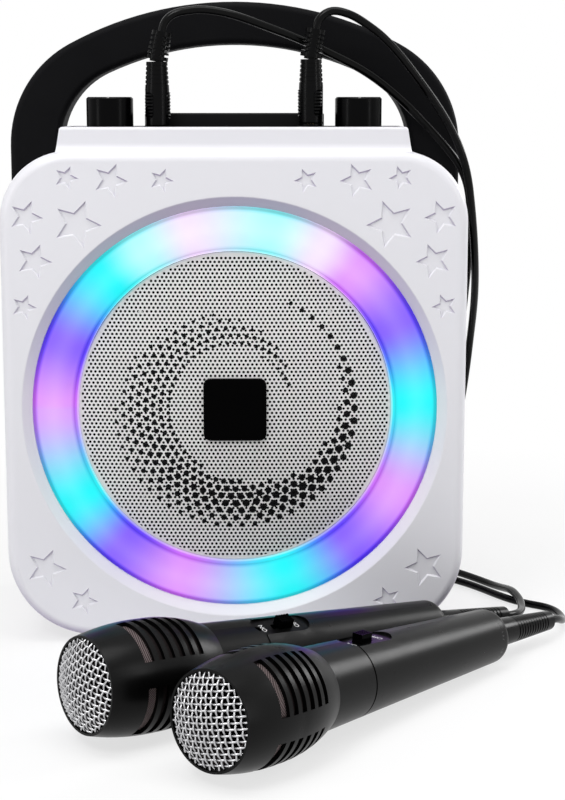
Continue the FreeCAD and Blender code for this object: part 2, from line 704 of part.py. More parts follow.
def grille_and_badge():
    reach = grille_radius()
    seat = INNER_WALL_BACK + BOARD_THICK
    dome = grille_ball(0).cut(grille_ball(GRILLE_SKIN))
    dome = dome.common(rod(Vector(0, FRONT, RING_Z), BACKWARDS, reach, GRILLE_RIM_DEEP + GRILLE_SKIN))
    skirt = ring_turned([(reach - GRILLE_SKIN, GRILLE_RIM_DEEP), (reach, GRILLE_RIM_DEEP),
                         (reach, seat), (reach - GRILLE_SKIN, seat)])
    holes = []
    rows = int(GRILLE_FIELD_R / (GRILLE_PITCH * math.cos(math.radians(HALF_TURN / HEX_SIDES))))
    for j in range(-rows, rows + 1):
        z = j * GRILLE_PITCH * math.cos(math.radians(HALF_TURN / HEX_SIDES))
        for i in range(-2 * rows, 2 * rows + 1):
            x = (i + (j % 2) / 2) * GRILLE_PITCH
            under_badge = max(abs(x), abs(z)) < BADGE_SIDE / 2 + GRILLE_HOLE / 2
            if math.hypot(x, z) < GRILLE_FIELD_R and not under_badge:
                holes.append(rod(Vector(x, FRONT, RING_Z + z), BACKWARDS, GRILLE_HOLE / 2, seat))
    grille = joined([dome, skirt]).cut(Part.makeCompound(holes))
    apex = GRILLE_RIM_DEEP - GRILLE_RISE
    half = BADGE_SIDE / 2
    badge = rounded_plate(half, RING_Z - half, RING_Z + half, BADGE_CORNER,
                          FRONT + apex - BADGE_PROUD, FRONT + GRILLE_RIM_DEEP)
    badge = badge.makeFillet(BADGE_ROUND, edges_at_y(badge, FRONT + apex - BADGE_PROUD))
    return grille, badge.cut(grille_ball(0))


def speaker():
    face = INNER_WALL_BACK + BOARD_THICK + CARRIER_THICK
    steel = face + FLANGE_STEEL
    step = steel - SURROUND_SKIN
    roll_mid = SURROUND_R - ROLL_R
    cone_r = SURROUND_R - 2 * ROLL_R
    skin = SURROUND_SKIN
    basket_back = face + BASKET_DEEP
    basket = ring_turned([
        (FLANGE_FACE_R, face), (SPEAKER_R, face), (SPEAKER_R, steel), (FLANGE_FACE_R + FLANGE_STEEL, steel),
        (FLANGE_FACE_R + FLANGE_STEEL, steel + BASKET_SKIN),
        (BASKET_BACK_R, basket_back - BASKET_SKIN), (BASKET_BACK_R, basket_back),
        (COIL_R + BASKET_SKIN, basket_back), (COIL_R + BASKET_SKIN, basket_back - BASKET_SKIN),
        (BASKET_BACK_R - BASKET_SKIN, basket_back - BASKET_SKIN),
        (FLANGE_FACE_R - BASKET_SKIN, steel + BASKET_SKIN), (SURROUND_R, steel + BASKET_SKIN),
        (SURROUND_R, steel), (FLANGE_FACE_R, steel),
    ])
    windows = []
    gap = [(BASKET_BACK_R - BASKET_SKIN, steel + 2 * BASKET_SKIN), (SPEAKER_R, steel + 2 * BASKET_SKIN),
           (SPEAKER_R, basket_back - 2 * BASKET_SKIN), (BASKET_BACK_R - BASKET_SKIN,
                                                        basket_back - 2 * BASKET_SKIN)]
    for i in range(BASKET_WINDOWS):
        window = ring_turned(gap, WINDOW_SPAN)
        window.rotate(Vector(0, 0, RING_Z), BACKWARDS, FULL_TURN * i / BASKET_WINDOWS)
        windows.append(window)
    holes = [rod(Vector(x, FRONT + face, z), BACKWARDS, SMALL_SHANK_R, FLANGE_STEEL)
             for x, z in around(SPEAKER_SCREW_RING, SPEAKER_SCREWS, HALF_TURN / SPEAKER_SCREWS)]
    basket = basket.cut(Part.makeCompound(windows + holes))

    surround = ring_turned([
        (SURROUND_R + SURROUND_LAND, steel), (SURROUND_R + SURROUND_LAND, step), (SURROUND_R, step),
        ((roll_mid, step - ROLL_R), (cone_r, step)), (cone_r - SURROUND_LAND, step),
        (cone_r - SURROUND_LAND, steel),
        (cone_r + skin, steel), ((roll_mid, steel - ROLL_R), (SURROUND_R - skin, steel)),
    ])
    neck = steel + CONE_DEEP
    cone = ring_turned([
        (cone_r, steel), (cone_r, steel + CONE_SKIN), (cone_r - SURROUND_LAND, steel + CONE_SKIN),
        (COIL_R, neck + CONE_SKIN), (COIL_R - COIL_SKIN, neck + CONE_SKIN), (COIL_R - COIL_SKIN, neck),
        (COIL_R, neck), (cone_r - SURROUND_LAND, steel),
    ])
    coil = ring_turned([(COIL_R - COIL_SKIN, neck + CONE_SKIN), (COIL_R, neck + CONE_SKIN),
                        (COIL_R, neck + COIL_LENGTH), (COIL_R - COIL_SKIN, neck + COIL_LENGTH)])
    cap_deep = steel + CONE_DEEP * (cone_r - SURROUND_LAND - CAP_R) / (cone_r - SURROUND_LAND - COIL_R)
    cap_ball = (CAP_R ** 2 + CAP_RISE ** 2) / (2 * CAP_RISE)
    middle = Vector(0, FRONT + cap_deep - CAP_RISE + cap_ball, RING_Z)
    cap = Part.makeSphere(cap_ball, middle).cut(Part.makeSphere(cap_ball - CONE_SKIN, middle))
    cap = cap.common(rod(Vector(0, FRONT, RING_Z), BACKWARDS, CAP_R, cap_deep + CONE_SKIN)).cut(cone)
    cap = max(cap.Solids, key=lambda solid: solid.Volume)

    top = basket_back + POLE_PLATE
    end = basket_back + MAGNET_LENGTH
    magnet = ring_turned([
        (COIL_R + COIL_GAP, basket_back), (MAGNET_R, basket_back), (MAGNET_R, end), (0, end),
        (0, basket_back), (COIL_R - COIL_SKIN - COIL_GAP, basket_back),
        (COIL_R - COIL_SKIN - COIL_GAP, end - POLE_PLATE), (COIL_R + POLE_PLATE, end - POLE_PLATE),
        (COIL_R + POLE_PLATE, top), (COIL_R + COIL_GAP, top),
    ])
    screws = [screw(Vector(x, FRONT + steel, z), BACKWARDS * -1, SMALL_SHANK_R, SMALL_SHANK, SMALL_HEAD_R,
                    SMALL_HEAD_TALL) for x, z in around(SPEAKER_SCREW_RING, SPEAKER_SCREWS,
                                                        HALF_TURN / SPEAKER_SCREWS)]
    return basket, surround, joined([cone, coil]), cap, magnet, screws


# Rear shell and what it holds

def handle_outline(half, top, corner):
    """Three-centre arch from the right spring point to the left one, as arc steps."""
    run = half - corner
    rise = top - HANDLE_SPRING
    crown = (run ** 2 + rise ** 2 - corner ** 2) / (2 * (rise - corner))
    middle = top - crown
    lean = math.atan2(HANDLE_SPRING - middle, run)
    joint = (run + corner * math.cos(lean), HANDLE_SPRING + corner * math.sin(lean))
    via = (run + corner * math.cos(lean / 2), HANDLE_SPRING + corner * math.sin(lean / 2))
    return via, joint


def carry_handle():
    inner_half = HANDLE_HALF - HANDLE_LEG
    inner_top = HANDLE_TOP - HANDLE_THICK
    via_out, joint_out = handle_outline(HANDLE_HALF, HANDLE_TOP, HANDLE_OUTER_CORNER)
    via_in, joint_in = handle_outline(inner_half, inner_top, HANDLE_INNER_CORNER)

    def flip(point):
        return -point[0], point[1]
    path = [
        (HANDLE_HALF, HANDLE_FOOT), (HANDLE_HALF, HANDLE_SPRING), (via_out, joint_out),
        ((0, HANDLE_TOP), flip(joint_out)), (flip(via_out), (-HANDLE_HALF, HANDLE_SPRING)),
        (-HANDLE_HALF, HANDLE_FOOT), (-inner_half, HANDLE_FOOT), (-inner_half, HANDLE_SPRING),
        (flip(via_in), flip(joint_in)), ((0, inner_top), joint_in), (via_in, (inner_half, HANDLE_SPRING)),
        (inner_half, HANDLE_FOOT),
    ]

    def place(x, z):
        return Vector(x, FRONT + SEAM, z)
    bar = face_of(path, place).extrude(Vector(0, HANDLE_DEEP, 0))
    ends = (FRONT + SEAM, FRONT + SEAM + HANDLE_DEEP)
    rims = [e for y in ends for e in edges_at_y(bar, y) if e.BoundBox.ZMax > HANDLE_FOOT + RUNNING]
    return bar.makeFillet(HANDLE_ROUND, rims)


def rear_shell():
    back = FRONT + DEPTH
    shell = body_prism(0, FRONT + SEAM, back)
    shell = shell.makeFillet(REAR_ROUND, edges_at_y(shell, back))
    outside = shell.copy()
    shell = shell.cut(body_prism(WALL, FRONT + SEAM - OVERCUT, back - WALL))
    leg_in = HANDLE_HALF - HANDLE_LEG - EASY_FIT
    leg_back = FRONT + SEAM + HANDLE_DEEP + EASY_FIT
    pockets = []
    legs = []
    for side in (-1, 1):
        reach = sorted((side * (leg_in - WALL), side * HALF_WIDTH))
        pockets.append(box(*reach, FRONT + SEAM, leg_back + WALL, HANDLE_FOOT - WALL,
                           BODY_TOP).common(outside))
        reach = sorted((side * leg_in, side * (HALF_WIDTH + OVERCUT)))
        legs.append(box(*reach, FRONT + SEAM - OVERCUT, leg_back, HANDLE_FOOT, BODY_TOP + OVERCUT))
    bosses = [rod(Vector(x, FRONT + SEAM, z), BACKWARDS, BOSS_R, DEPTH - SEAM - WALL) for x,
              z in screw_places()]
    board_back = DEPTH - WALL - MAIN_BOARD_GAP
    stands = [rod(Vector(x, FRONT + board_back, z), BACKWARDS, STAND_R, MAIN_BOARD_GAP) for x,
              z in stand_places()]
    shell = joined([shell] + pockets + bosses + stands)
    cuts = legs
    cuts += [rod(Vector(x, FRONT + SEAM - OVERCUT, z), BACKWARDS, SHANK_R, HEAD_SEAT - SEAM + OVERCUT)
             for x, z in screw_places()]
    cuts += [rod(Vector(x, FRONT + HEAD_SEAT, z), BACKWARDS, HEAD_R + EASY_FIT, DEPTH) for x,
             z in screw_places()]
    cuts.append(box(-PLATE_HALF, PLATE_HALF, back - WALL - RUNNING, back + OVERCUT, PLATE_LOW, PLATE_HIGH))
    cuts.append(rod(Vector(0, back - WALL - OVERCUT, PORT_Z), BACKWARDS, PORT_R + PORT_SKIN, DEPTH))
    for i in range(VENT_COUNT):
        z = VENT_Z + (i - VENT_COUNT / 2) * VENT_PITCH
        for side in (-1, 1):
            x = side * (HALF_WIDTH - BOTTOM_CORNER)
            cuts.append(box(x - VENT_HALF, x + VENT_HALF, back - WALL - RUNNING, back + OVERCUT, z,
                            z + VENT_TALL))
    return shell.cut(Part.makeCompound(cuts))


def stand_places():
    return [(side * (MAIN_BOARD_HALF - STAND_IN), z) for side in (-1, 1)
            for z in (MAIN_BOARD_LOW + STAND_IN, MAIN_BOARD_HIGH - STAND_IN)]


def rear_fittings():
    back = FRONT + DEPTH
    inside = back - WALL
    low = (PLATE_LOW + PLATE_HIGH) / 2
    plate = box(-PLATE_HALF - PLATE_MARGIN, PLATE_HALF + PLATE_MARGIN, inside - PLATE_THICK, inside,
                PLATE_LOW - PLATE_MARGIN, PLATE_HIGH + PLATE_MARGIN)
    well = (ROCKER_X - ROCKER_HALF - EASY_FIT, ROCKER_X + ROCKER_HALF + EASY_FIT)
    case = box(well[0] - ROCKER_CASE_WALL, well[1] + ROCKER_CASE_WALL, inside - ROCKER_CASE_DEEP, inside,
               low - ROCKER_TALL - ROCKER_CASE_WALL, low + ROCKER_TALL + ROCKER_CASE_WALL)
    plate = joined([plate, case])
    axle = Vector(ROCKER_X - ROCKER_HALF - ROCKER_AXLE_IN, inside - ROCKER_KEEL_R, low)
    axle_long = 2 * (ROCKER_HALF + ROCKER_AXLE_IN)
    plate = plate.cut(Part.makeCompound([
        box(well[0], well[1], inside - ROCKER_CASE_DEEP + ROCKER_CASE_WALL, inside + OVERCUT,
            low - ROCKER_TALL, low + ROCKER_TALL),
        rod(axle, ACROSS, ROCKER_AXLE_R + RUNNING, axle_long),
        rod(Vector(POWER_INLET_X, inside - PLATE_THICK - OVERCUT, low), BACKWARDS, POWER_INLET_R, DEPTH),
        rod(Vector(AUX_X, inside - PLATE_THICK - OVERCUT, low), BACKWARDS, AUX_R, DEPTH),
        box(CARD_X - CARD_HALF, CARD_X + CARD_HALF, inside - PLATE_THICK - OVERCUT, inside + OVERCUT,
            low - CARD_TALL / 2, low + CARD_TALL / 2),
    ]))

    def place(y, z):
        return Vector(ROCKER_X - ROCKER_HALF, y, z)
    tilt = math.tan(math.radians(ROCKER_TILT))
    reach = ROCKER_TALL - ROCKER_AXLE_R
    face = inside + ROCKER_PROUD
    rocker_path = [(inside - ROCKER_KEEL_R, low - ROCKER_KEEL_R), (face - reach * tilt, low - reach),
                   (face, low), (face - reach * tilt, low + reach), (inside - ROCKER_KEEL_R,
                                                                     low + ROCKER_KEEL_R)]
    rocker_path.append(((inside - 2 * ROCKER_KEEL_R, low), (inside - ROCKER_KEEL_R, low - ROCKER_KEEL_R)))
    rocker = face_of(rocker_path, place).extrude(Vector(2 * ROCKER_HALF, 0, 0))
    rocker = joined([rocker, rod(axle, ACROSS, ROCKER_AXLE_R, axle_long)])
    rocker.rotate(Vector(0, inside - ROCKER_KEEL_R, low), ACROSS, ROCKER_TILT)

    port_front = DEPTH - PORT_LENGTH
    flare = PORT_R + PORT_SKIN + PORT_FLARE

    def port_place(radius, deep):
        return Vector(radius, FRONT + deep, PORT_Z)
    port = face_of([
        (PORT_R, port_front), (PORT_R + PORT_SKIN, port_front), (PORT_R + PORT_SKIN, DEPTH), (flare, DEPTH),
        (flare, DEPTH + PORT_SKIN / 2), (flare - PORT_SKIN, DEPTH + PORT_SKIN / 2),
        (PORT_R, DEPTH - PORT_FLARE),
    ], port_place).revolve(Vector(0, 0, PORT_Z), BACKWARDS, FULL_TURN)

    board_back = inside - MAIN_BOARD_GAP
    board = [box(-MAIN_BOARD_HALF, MAIN_BOARD_HALF, board_back - BOARD_THICK, board_back, MAIN_BOARD_LOW,
                 MAIN_BOARD_HIGH)]
    for shares in CHIP_SHARES:
        x, half, tall = (share * MAIN_BOARD_HALF for share in shares)
        board.append(box(x - half, x + half, board_back - BOARD_THICK - tall, board_back - BOARD_THICK,
                         MAIN_BOARD_LOW + half, MAIN_BOARD_LOW + 3 * half))
    floor = BODY_BOTTOM + WALL
    battery = box(-BATTERY_HALF, BATTERY_HALF, FRONT + BATTERY_FRONT, inside, floor, floor + BATTERY_TALL)
    battery = battery.makeFillet(BATTERY_ROUND,
                                 [e for e in battery.Edges if abs(e.BoundBox.XLength - 2 * BATTERY_HALF)
                                                 < RUNNING and e.BoundBox.ZMin > floor + RUNNING])
    screws = [screw(Vector(x, FRONT + HEAD_SEAT, z), BACKWARDS * -1, SHANK_R, HEAD_SEAT - SHANK_TIP,
                    HEAD_R, HEAD_TALL)
              for x, z in screw_places()]
    foot = box(-FOOT_HALF, FOOT_HALF, FRONT + FOOT_FRONT, FRONT + FOOT_BACK, 0, BODY_BOTTOM)
    foot = foot.makeFillet(FOOT_ROUND, [e for e in foot.Edges if e.BoundBox.ZLength > BODY_BOTTOM / 2])
    hollow = box(FOOT_FRAME - FOOT_HALF, FOOT_HALF - FOOT_FRAME, FRONT + FOOT_FRONT + FOOT_FRAME,
                 FRONT + FOOT_BACK - FOOT_FRAME, 0, FOOT_HOLLOW)
    return plate, rocker, port, joined(board), battery, foot.cut(hollow), screws


# Control deck, knobs and jacks

def button_places():
    middle = (len(BUTTON_NAMES) - 1) / 2
    return [(i - middle) * BUTTON_PITCH for i in range(len(BUTTON_NAMES))]


def soft_box(half_x, y0, y1, z0, z1, x, corner):
    block = box(x - half_x, x + half_x, y0, y1, z0, z1)
    return block.makeFillet(corner, [e for e in block.Edges if e.BoundBox.ZLength > (z1 - z0) / 2])


def control_deck():
    half = LIP_HALF - DECK_SIDE - EASY_FIT
    front = FRONT + LIP_SETBACK + DECK_SIDE + EASY_FIT
    back = FRONT + SEAM - DECK_SIDE - EASY_FIT
    bar_front = FRONT + CONSOLE_FRONT
    bar_back = FRONT + CONSOLE_BACK
    plate = box(-half, half, front, back, DECK_SEAT, DECK_TOP)
    bar = box(-CONSOLE_HALF, CONSOLE_HALF, bar_front, bar_back, DECK_SEAT, CONSOLE_TOP)
    crest = [e for e in bar.Edges if all(abs(v.Z - CONSOLE_TOP) < RUNNING for v in e.Vertexes)]
    deck = joined([plate, bar.makeFillet(CONSOLE_ROUND, crest)])
    cuts = [
        box(CONSOLE_WALL - CONSOLE_HALF, CONSOLE_HALF - CONSOLE_WALL, bar_front + CONSOLE_WALL,
            bar_back - CONSOLE_WALL, DECK_SEAT - OVERCUT, TRAY_TOP - CONSOLE_WALL),
        box(TRAY_RIM - CONSOLE_HALF, CONSOLE_HALF - TRAY_RIM, bar_front + TRAY_RIM, bar_back - TRAY_RIM,
            TRAY_TOP, CONSOLE_TOP + OVERCUT),
    ]
    through = 2 * OVERCUT + WALL
    for side in (-1, 1):
        cuts.append(rod(Vector(side * KNOB_X, FRONT + KNOB_DEPTH, DECK_SEAT - OVERCUT), UP, BUSHING_R,
                        through))
        jack_foot = Vector(side * PLUG_X, FRONT + PLUG_DEPTH, DECK_SEAT - OVERCUT)
        cuts.append(rod(jack_foot, UP, JACK_BUSHING_R, through))
    button_y = (bar_front + bar_back) / 2
    wide = BUTTON_WIDE / 2 + EASY_FIT
    for x in button_places():
        cuts.append(soft_box(BUTTON_LONG / 2 + EASY_FIT, button_y - wide, button_y + wide,
                             TRAY_TOP - CONSOLE_WALL - OVERCUT, TRAY_TOP + OVERCUT, x, BUTTON_CORNER))
    return deck.cut(Part.makeCompound(cuts))


def button(x):
    y = FRONT + (CONSOLE_FRONT + CONSOLE_BACK) / 2
    under = TRAY_TOP - CONSOLE_WALL
    foot = under - BUTTON_FLANGE
    wide = BUTTON_WIDE / 2
    cap = soft_box(BUTTON_LONG / 2, y - wide, y + wide, foot, TRAY_TOP + BUTTON_PROUD, x, BUTTON_CORNER)
    wide += BUTTON_FLANGE
    flange = soft_box(BUTTON_LONG / 2 + BUTTON_FLANGE, y - wide, y + wide, foot, under, x, BUTTON_CORNER)
    return joined([cap, flange])


def console_board():
    y = FRONT + (CONSOLE_FRONT + CONSOLE_BACK) / 2
    pressed = TRAY_TOP - CONSOLE_WALL - BUTTON_FLANGE - BUTTON_TRAVEL - RUNNING
    half = CONSOLE_HALF - CONSOLE_WALL
    wide = (CONSOLE_BACK - CONSOLE_FRONT) / 2 - CONSOLE_WALL
    top = pressed - SWITCH_TALL
    pieces = [box(-half, half, y - wide, y + wide, top - BOARD_THICK, top)]
    for x in button_places():
        pieces.append(box(x - SWITCH_HALF, x + SWITCH_HALF, y - SWITCH_HALF, y + SWITCH_HALF, top, pressed))
    return joined(pieces)


def knob_and_pot(x):
    y = FRONT + KNOB_DEPTH
    foot = DECK_TOP + KNOB_LIFT
    shaft_top = DECK_TOP + SHAFT_UP
    knob = upright_turned([
        (SHAFT_R, foot), (KNOB_R, foot), (KNOB_R, KNOB_TOP - KNOB_CHAMFER), (KNOB_R - KNOB_CHAMFER, KNOB_TOP),
        (0, KNOB_TOP), (0, shaft_top), (SHAFT_R, shaft_top),
    ], x, y)
    mark = box(x - KNOB_MARK_WIDE / 2, x + KNOB_MARK_WIDE / 2, y - KNOB_R - OVERCUT, y - KNOB_R / 2,
               KNOB_TOP - KNOB_MARK_DEEP, KNOB_TOP + OVERCUT)
    knob = knob.cut(mark)
    bushing_top = DECK_TOP + KNOB_LIFT / 2
    pot_foot = DECK_SEAT - POT_TALL
    bore = SHAFT_R + RUNNING
    floor = pot_foot + SHAFT_INSET
    pot = upright_turned([
        (0, pot_foot), (POT_R, pot_foot), (POT_R, DECK_SEAT), (BUSHING_R, DECK_SEAT),
        (BUSHING_R, bushing_top), (bore, bushing_top), (bore, floor), (0, floor),
    ], x, y)
    shaft = rod(Vector(x, y, floor + RUNNING), UP, SHAFT_R, shaft_top - floor - RUNNING)
    return knob, shaft, pot


def jack(x):
    y = FRONT + PLUG_DEPTH
    top = DECK_TOP + NUT_TALL
    foot = DECK_SEAT - JACK_LONG
    body = upright_turned([
        (0, foot), (JACK_BODY_R, foot), (JACK_BODY_R, DECK_SEAT), (JACK_BUSHING_R, DECK_SEAT),
        (JACK_BUSHING_R, top), (PIN_R, top), (PIN_R, foot + WALL), (0, foot + WALL),
    ], x, y)
    across = NUT_FLATS / 2 / math.cos(math.radians(HALF_TURN / HEX_SIDES))
    corners = [math.radians(FULL_TURN * (i + 0.5) / HEX_SIDES) for i in range(HEX_SIDES)]
    ring = [(x + across * math.cos(a), y + across * math.sin(a)) for a in corners]

    def place(px, py):
        return Vector(px, py, DECK_TOP)
    nut = face_of(ring, place).extrude(UP * NUT_TALL)
    nut = nut.cut(rod(Vector(x, y, DECK_TOP), UP, JACK_BUSHING_R, NUT_TALL))
    return joined([body, nut])


def segmented(length, base_r, tip_r, deep, collar, rings, slit, plain):
    """Tapered cord relief along +Z: a plain collar, slits between rings, and a plain tip."""
    pitch = (length - collar - plain) / rings
    path = [(0, 0), (base_r, 0)]

    def radius(height):
        return base_r + (tip_r - base_r) * height / length
    for i in range(rings):
        low = collar + i * pitch
        high = low + slit
        path += [(radius(low), low), (radius(low) - deep, low), (radius(high) - deep, high),
                 (radius(high), high)]
    path += [(tip_r, length), (0, length)]
    return upright_turned(path, 0, 0)


def grip_pads(x, y, first):
    """Raised oval pads with fine ridges, spaced round a plug from the angle given."""
    outer = PLUG_R + GRIP_PROUD
    low = DECK_TOP + GRIP_LOW
    high = low + GRIP_TALL
    half = GRIP_WIDE / 2
    oval = [(-half, low + half), (-half, high - half), ((0, high), (half, high - half)), (half, low + half),
            ((0, low), (-half, low + half))]

    def place(px, pz):
        return Vector(px, -2 * outer, pz)
    block = face_of(oval, place).extrude(Vector(0, 2 * outer, 0))
    step = GRIP_TALL / GRIP_RIDGES
    path = [(0, low), (outer, low)]
    for i in range(GRIP_RIDGES):
        path += [(outer - GRIP_RIDGE, low + (i + 0.5) * step), (outer, low + (i + 1) * step)]
    path.append((0, high))
    pad = block.common(upright_turned(path, 0, 0))
    pads = []
    for i in range(GRIP_PADS):
        turned = pad.copy()
        turned.rotate(Vector(0, 0, 0), UP, first + FULL_TURN * i / GRIP_PADS)
        turned.translate(Vector(x, y, 0))
        pads.append(turned)
    return pads


def cord_relief(tilt):
    """Slit relief on a short root, with a spine at the front and back, leaning by the tilt given."""
    rings = segmented(RELIEF_LONG, RELIEF_R, RELIEF_TIP_R, RELIEF_DEEP, RELIEF_COLLAR, RELIEF_RINGS,
                      RELIEF_SLIT, RELIEF_SLIT)
    cone = upright_turned([(0, 0), (RELIEF_R, 0), (RELIEF_TIP_R, RELIEF_LONG), (0, RELIEF_LONG)], 0, 0)
    half = RELIEF_SPINE / 2
    spine = cone.common(box(-half, half, -RELIEF_R, RELIEF_R, 0, RELIEF_LONG))
    root = rod(Vector(0, 0, -RELIEF_SLIT), UP, RELIEF_CORE_R, 2 * RELIEF_SLIT)
    relief = joined([rings, spine, root])
    relief.rotate(Vector(0, 0, 0), BACKWARDS, tilt)
    return relief


def plug(x, tilt, first, out):
    """Overmoulded plug body with its leaning relief, and the pin below it, drawn out by some length."""
    y = FRONT + PLUG_DEPTH
    foot = DECK_TOP + NUT_TALL
    path = [(0, foot), (PLUG_R - PLUG_CHAMFER, foot), (PLUG_R, foot + PLUG_CHAMFER), (PLUG_R, PLUG_GRIP_TOP)]
    shrink = (PLUG_R - PLUG_NECK_R) / (PLUG_TOP - PLUG_GRIP_TOP)
    height = PLUG_GRIP_TOP + PLUG_RING_PITCH
    for i in range(PLUG_RINGS):
        for z, deep in ((height, 0), (height, PLUG_RING_DEEP), (height + PLUG_RING_WIDE, PLUG_RING_DEEP),
                        (height + PLUG_RING_WIDE, 0)):
            path.append((PLUG_R - shrink * (z - PLUG_GRIP_TOP) - deep, z))
        height += PLUG_RING_PITCH
    path += [(PLUG_NECK_R, PLUG_TOP), (0, PLUG_TOP)]
    relief = cord_relief(tilt)
    relief.translate(Vector(x, y, PLUG_TOP + RELIEF_SLIT))
    body = joined([upright_turned(path, x, y), relief] + grip_pads(x, y, first))

    tip = foot - PIN_LENGTH
    pin_path = [(0, foot), (PIN_R, foot)]
    for i in range(PIN_GROOVE_COUNT):
        down = PIN_GROOVE_AT + i * PIN_GROOVE_PITCH
        pin_path += [(PIN_R, foot - down), (PIN_R - PIN_GROOVE, foot - down),
                     (PIN_R - PIN_GROOVE, foot - down - PLUG_RING_WIDE),
                     (PIN_R, foot - down - PLUG_RING_WIDE)]
    pin_path += [(PIN_R, tip + 2 * PIN_NOSE), (PIN_NOSE_R, tip + PIN_NOSE), (PIN_NOSE_R / 2, tip), (0, tip)]
    pin = upright_turned(pin_path, x, y)
    for piece in (body, pin):
        piece.translate(UP * out)
    return body, pin


# Microphones

def mic_pieces(boot_turn, head_turn, slide):
    """Pieces of one microphone along +X, switch upwards, front of the mesh at the origin.

    The slide is -1 with the switch at its end near the head and 1 with it at the far end.
    """
    rim = MESH_RISE
    seat = rim + MESH_SEAT
    bulge = (CAGE_BULGE_AT, CAGE_BULGE_R)
    waist = (CAGE_WAIST_AT, CAGE_WAIST_R)
    shoulder = (TUBE_SHOULDER_AT, TUBE_SHOULDER_R)
    tail = (TUBE_TAIL_AT, TUBE_TAIL_R)
    skin = CAGE_SKIN
    cage = mic_turned([
        (rim, CAGE_RIM_R), (bulge, (CAGE_MAX_AT, CAGE_MAX_R)), (waist, (CAGE_END, CAGE_END_R)),
        (CAGE_END, CAGE_END_R - skin),
        ((waist[0], waist[1] - skin), (CAGE_MAX_AT, CAGE_MAX_R - skin)),
        ((bulge[0] + skin, bulge[1] - skin), (seat, MESH_R - skin)),
        (rim + MESH_SKIN, MESH_R - skin), (rim + MESH_SKIN, MESH_R), (rim, MESH_R),
    ])
    slots = []
    for i in range(SLOT_COUNT):
        at = SLOT_FROM + (i * SLOT_PITCH + (SLOT_FIRST - SLOT_WIDE) if i else 0)
        wide = SLOT_WIDE if i else SLOT_FIRST
        outer = CAGE_MAX_R + skin
        band = [(at, CAPSULE_R), (at + wide, CAPSULE_R), (at + wide, outer), (at, outer)]
        for j in range(SLOT_GROUPS):
            slot = mic_turned(band, SLOT_SPAN)
            turn = FULL_TURN * j / SLOT_GROUPS + (FULL_TURN / SLOT_GROUPS - SLOT_SPAN) / 2
            slot.rotate(Vector(0, 0, 0), ACROSS, head_turn + turn)
            slots.append(slot)
    cage = cage.cut(Part.makeCompound(slots))

    ball = (MESH_R ** 2 + MESH_RISE ** 2) / (2 * MESH_RISE)
    centre = Vector(ball, 0, 0)
    mesh = Part.makeSphere(ball, centre).cut(Part.makeSphere(ball - MESH_SKIN, centre))
    mesh = mesh.common(rod(Vector(0, 0, 0), ACROSS, MESH_R, rim))
    mesh = joined([mesh, mic_turned([(rim - MESH_SKIN, MESH_R - skin), (rim - MESH_SKIN, MESH_R),
                                     (rim + MESH_SKIN, MESH_R), (rim + MESH_SKIN, MESH_R - skin)])])

    foam_in = FOAM_SKIN + skin
    foam = mic_turned([
        (seat, MESH_R - skin), ((bulge[0] + skin, bulge[1] - skin), (CAGE_MAX_AT, CAGE_MAX_R - skin)),
        ((waist[0], waist[1] - skin), (CAGE_END, CAGE_END_R - skin)), (CAGE_END, CAGE_END_R - foam_in),
        ((waist[0], waist[1] - foam_in), (CAGE_MAX_AT, CAGE_MAX_R - foam_in)),
        ((bulge[0] + skin, bulge[1] - foam_in), (seat, MESH_R - foam_in)),
    ])
    plug_r = TUBE_R - TUBE_SKIN
    plug_end = CAGE_END + SLOT_PITCH
    plug_end_r = plug_r - (TUBE_R - shoulder[1]) * SLOT_PITCH / (shoulder[0] - CAGE_END)
    capsule = mic_turned([
        (CAPSULE_AT, 0), (CAPSULE_AT, CAPSULE_R), (CAPSULE_NECK_AT, CAPSULE_R),
        (CAPSULE_NECK_AT, CAPSULE_NECK_R), (CAGE_END, CAPSULE_NECK_R), (CAGE_END, plug_r),
        (plug_end, plug_end_r), (plug_end, 0),
    ])

    taper = (shoulder[1] - tail[1]) / (tail[0] - shoulder[0])

    def tube_r(at):
        return shoulder[1] - taper * (at - shoulder[0])
    groove_end = shoulder[0] + TUBE_GROOVE_WIDE
    end_via = (TUBE_END - TUBE_SKIN / 2, tail[1] - TUBE_SKIN / 2)
    tube = mic_turned([
        (CAGE_END, TUBE_R), shoulder, (shoulder[0], shoulder[1] - TUBE_GROOVE),
        (groove_end, shoulder[1] - TUBE_GROOVE), (groove_end, tube_r(groove_end)),
        tail, (end_via, (TUBE_END, TUBE_END_R)), (TUBE_END, CORD_R),
        (TUBE_END - TUBE_SKIN, CORD_R), (TUBE_END - TUBE_SKIN, TUBE_END_R - TUBE_SKIN),
        (tail[0], tail[1] - TUBE_SKIN), (shoulder[0], shoulder[1] - TUBE_SKIN),
        (CAGE_END, plug_r),
    ])
    surface = tube_r(SWITCH_AT + SWITCH_PLATE_LONG / 2)
    floor = surface - SWITCH_PLATE_DEEP
    half_long = SWITCH_PLATE_LONG / 2
    half_wide = SWITCH_PLATE_WIDE / 2
    end = half_long - half_wide
    plates = [box(SWITCH_AT - end, SWITCH_AT + end, -half_wide, half_wide, floor, 2 * TUBE_R)]
    plates += [rod(Vector(SWITCH_AT + way * end, 0, floor), UP, half_wide, TUBE_R) for way in (-1, 1)]
    stem_long = SLIDER_STEM_LONG + SLIDER_TRAVEL + 2 * EASY_FIT
    stem_at = SWITCH_AT - SLIDER_TRAVEL / 2 - SLIDER_STEM_LONG / 2 - EASY_FIT
    stem_half = SLIDER_STEM_WIDE / 2 + EASY_FIT
    keyway = box(stem_at, stem_at + stem_long, -stem_half, stem_half, floor - 2 * TUBE_SKIN, 2 * TUBE_R)
    tube = tube.cut(joined(plates)).cut(keyway)

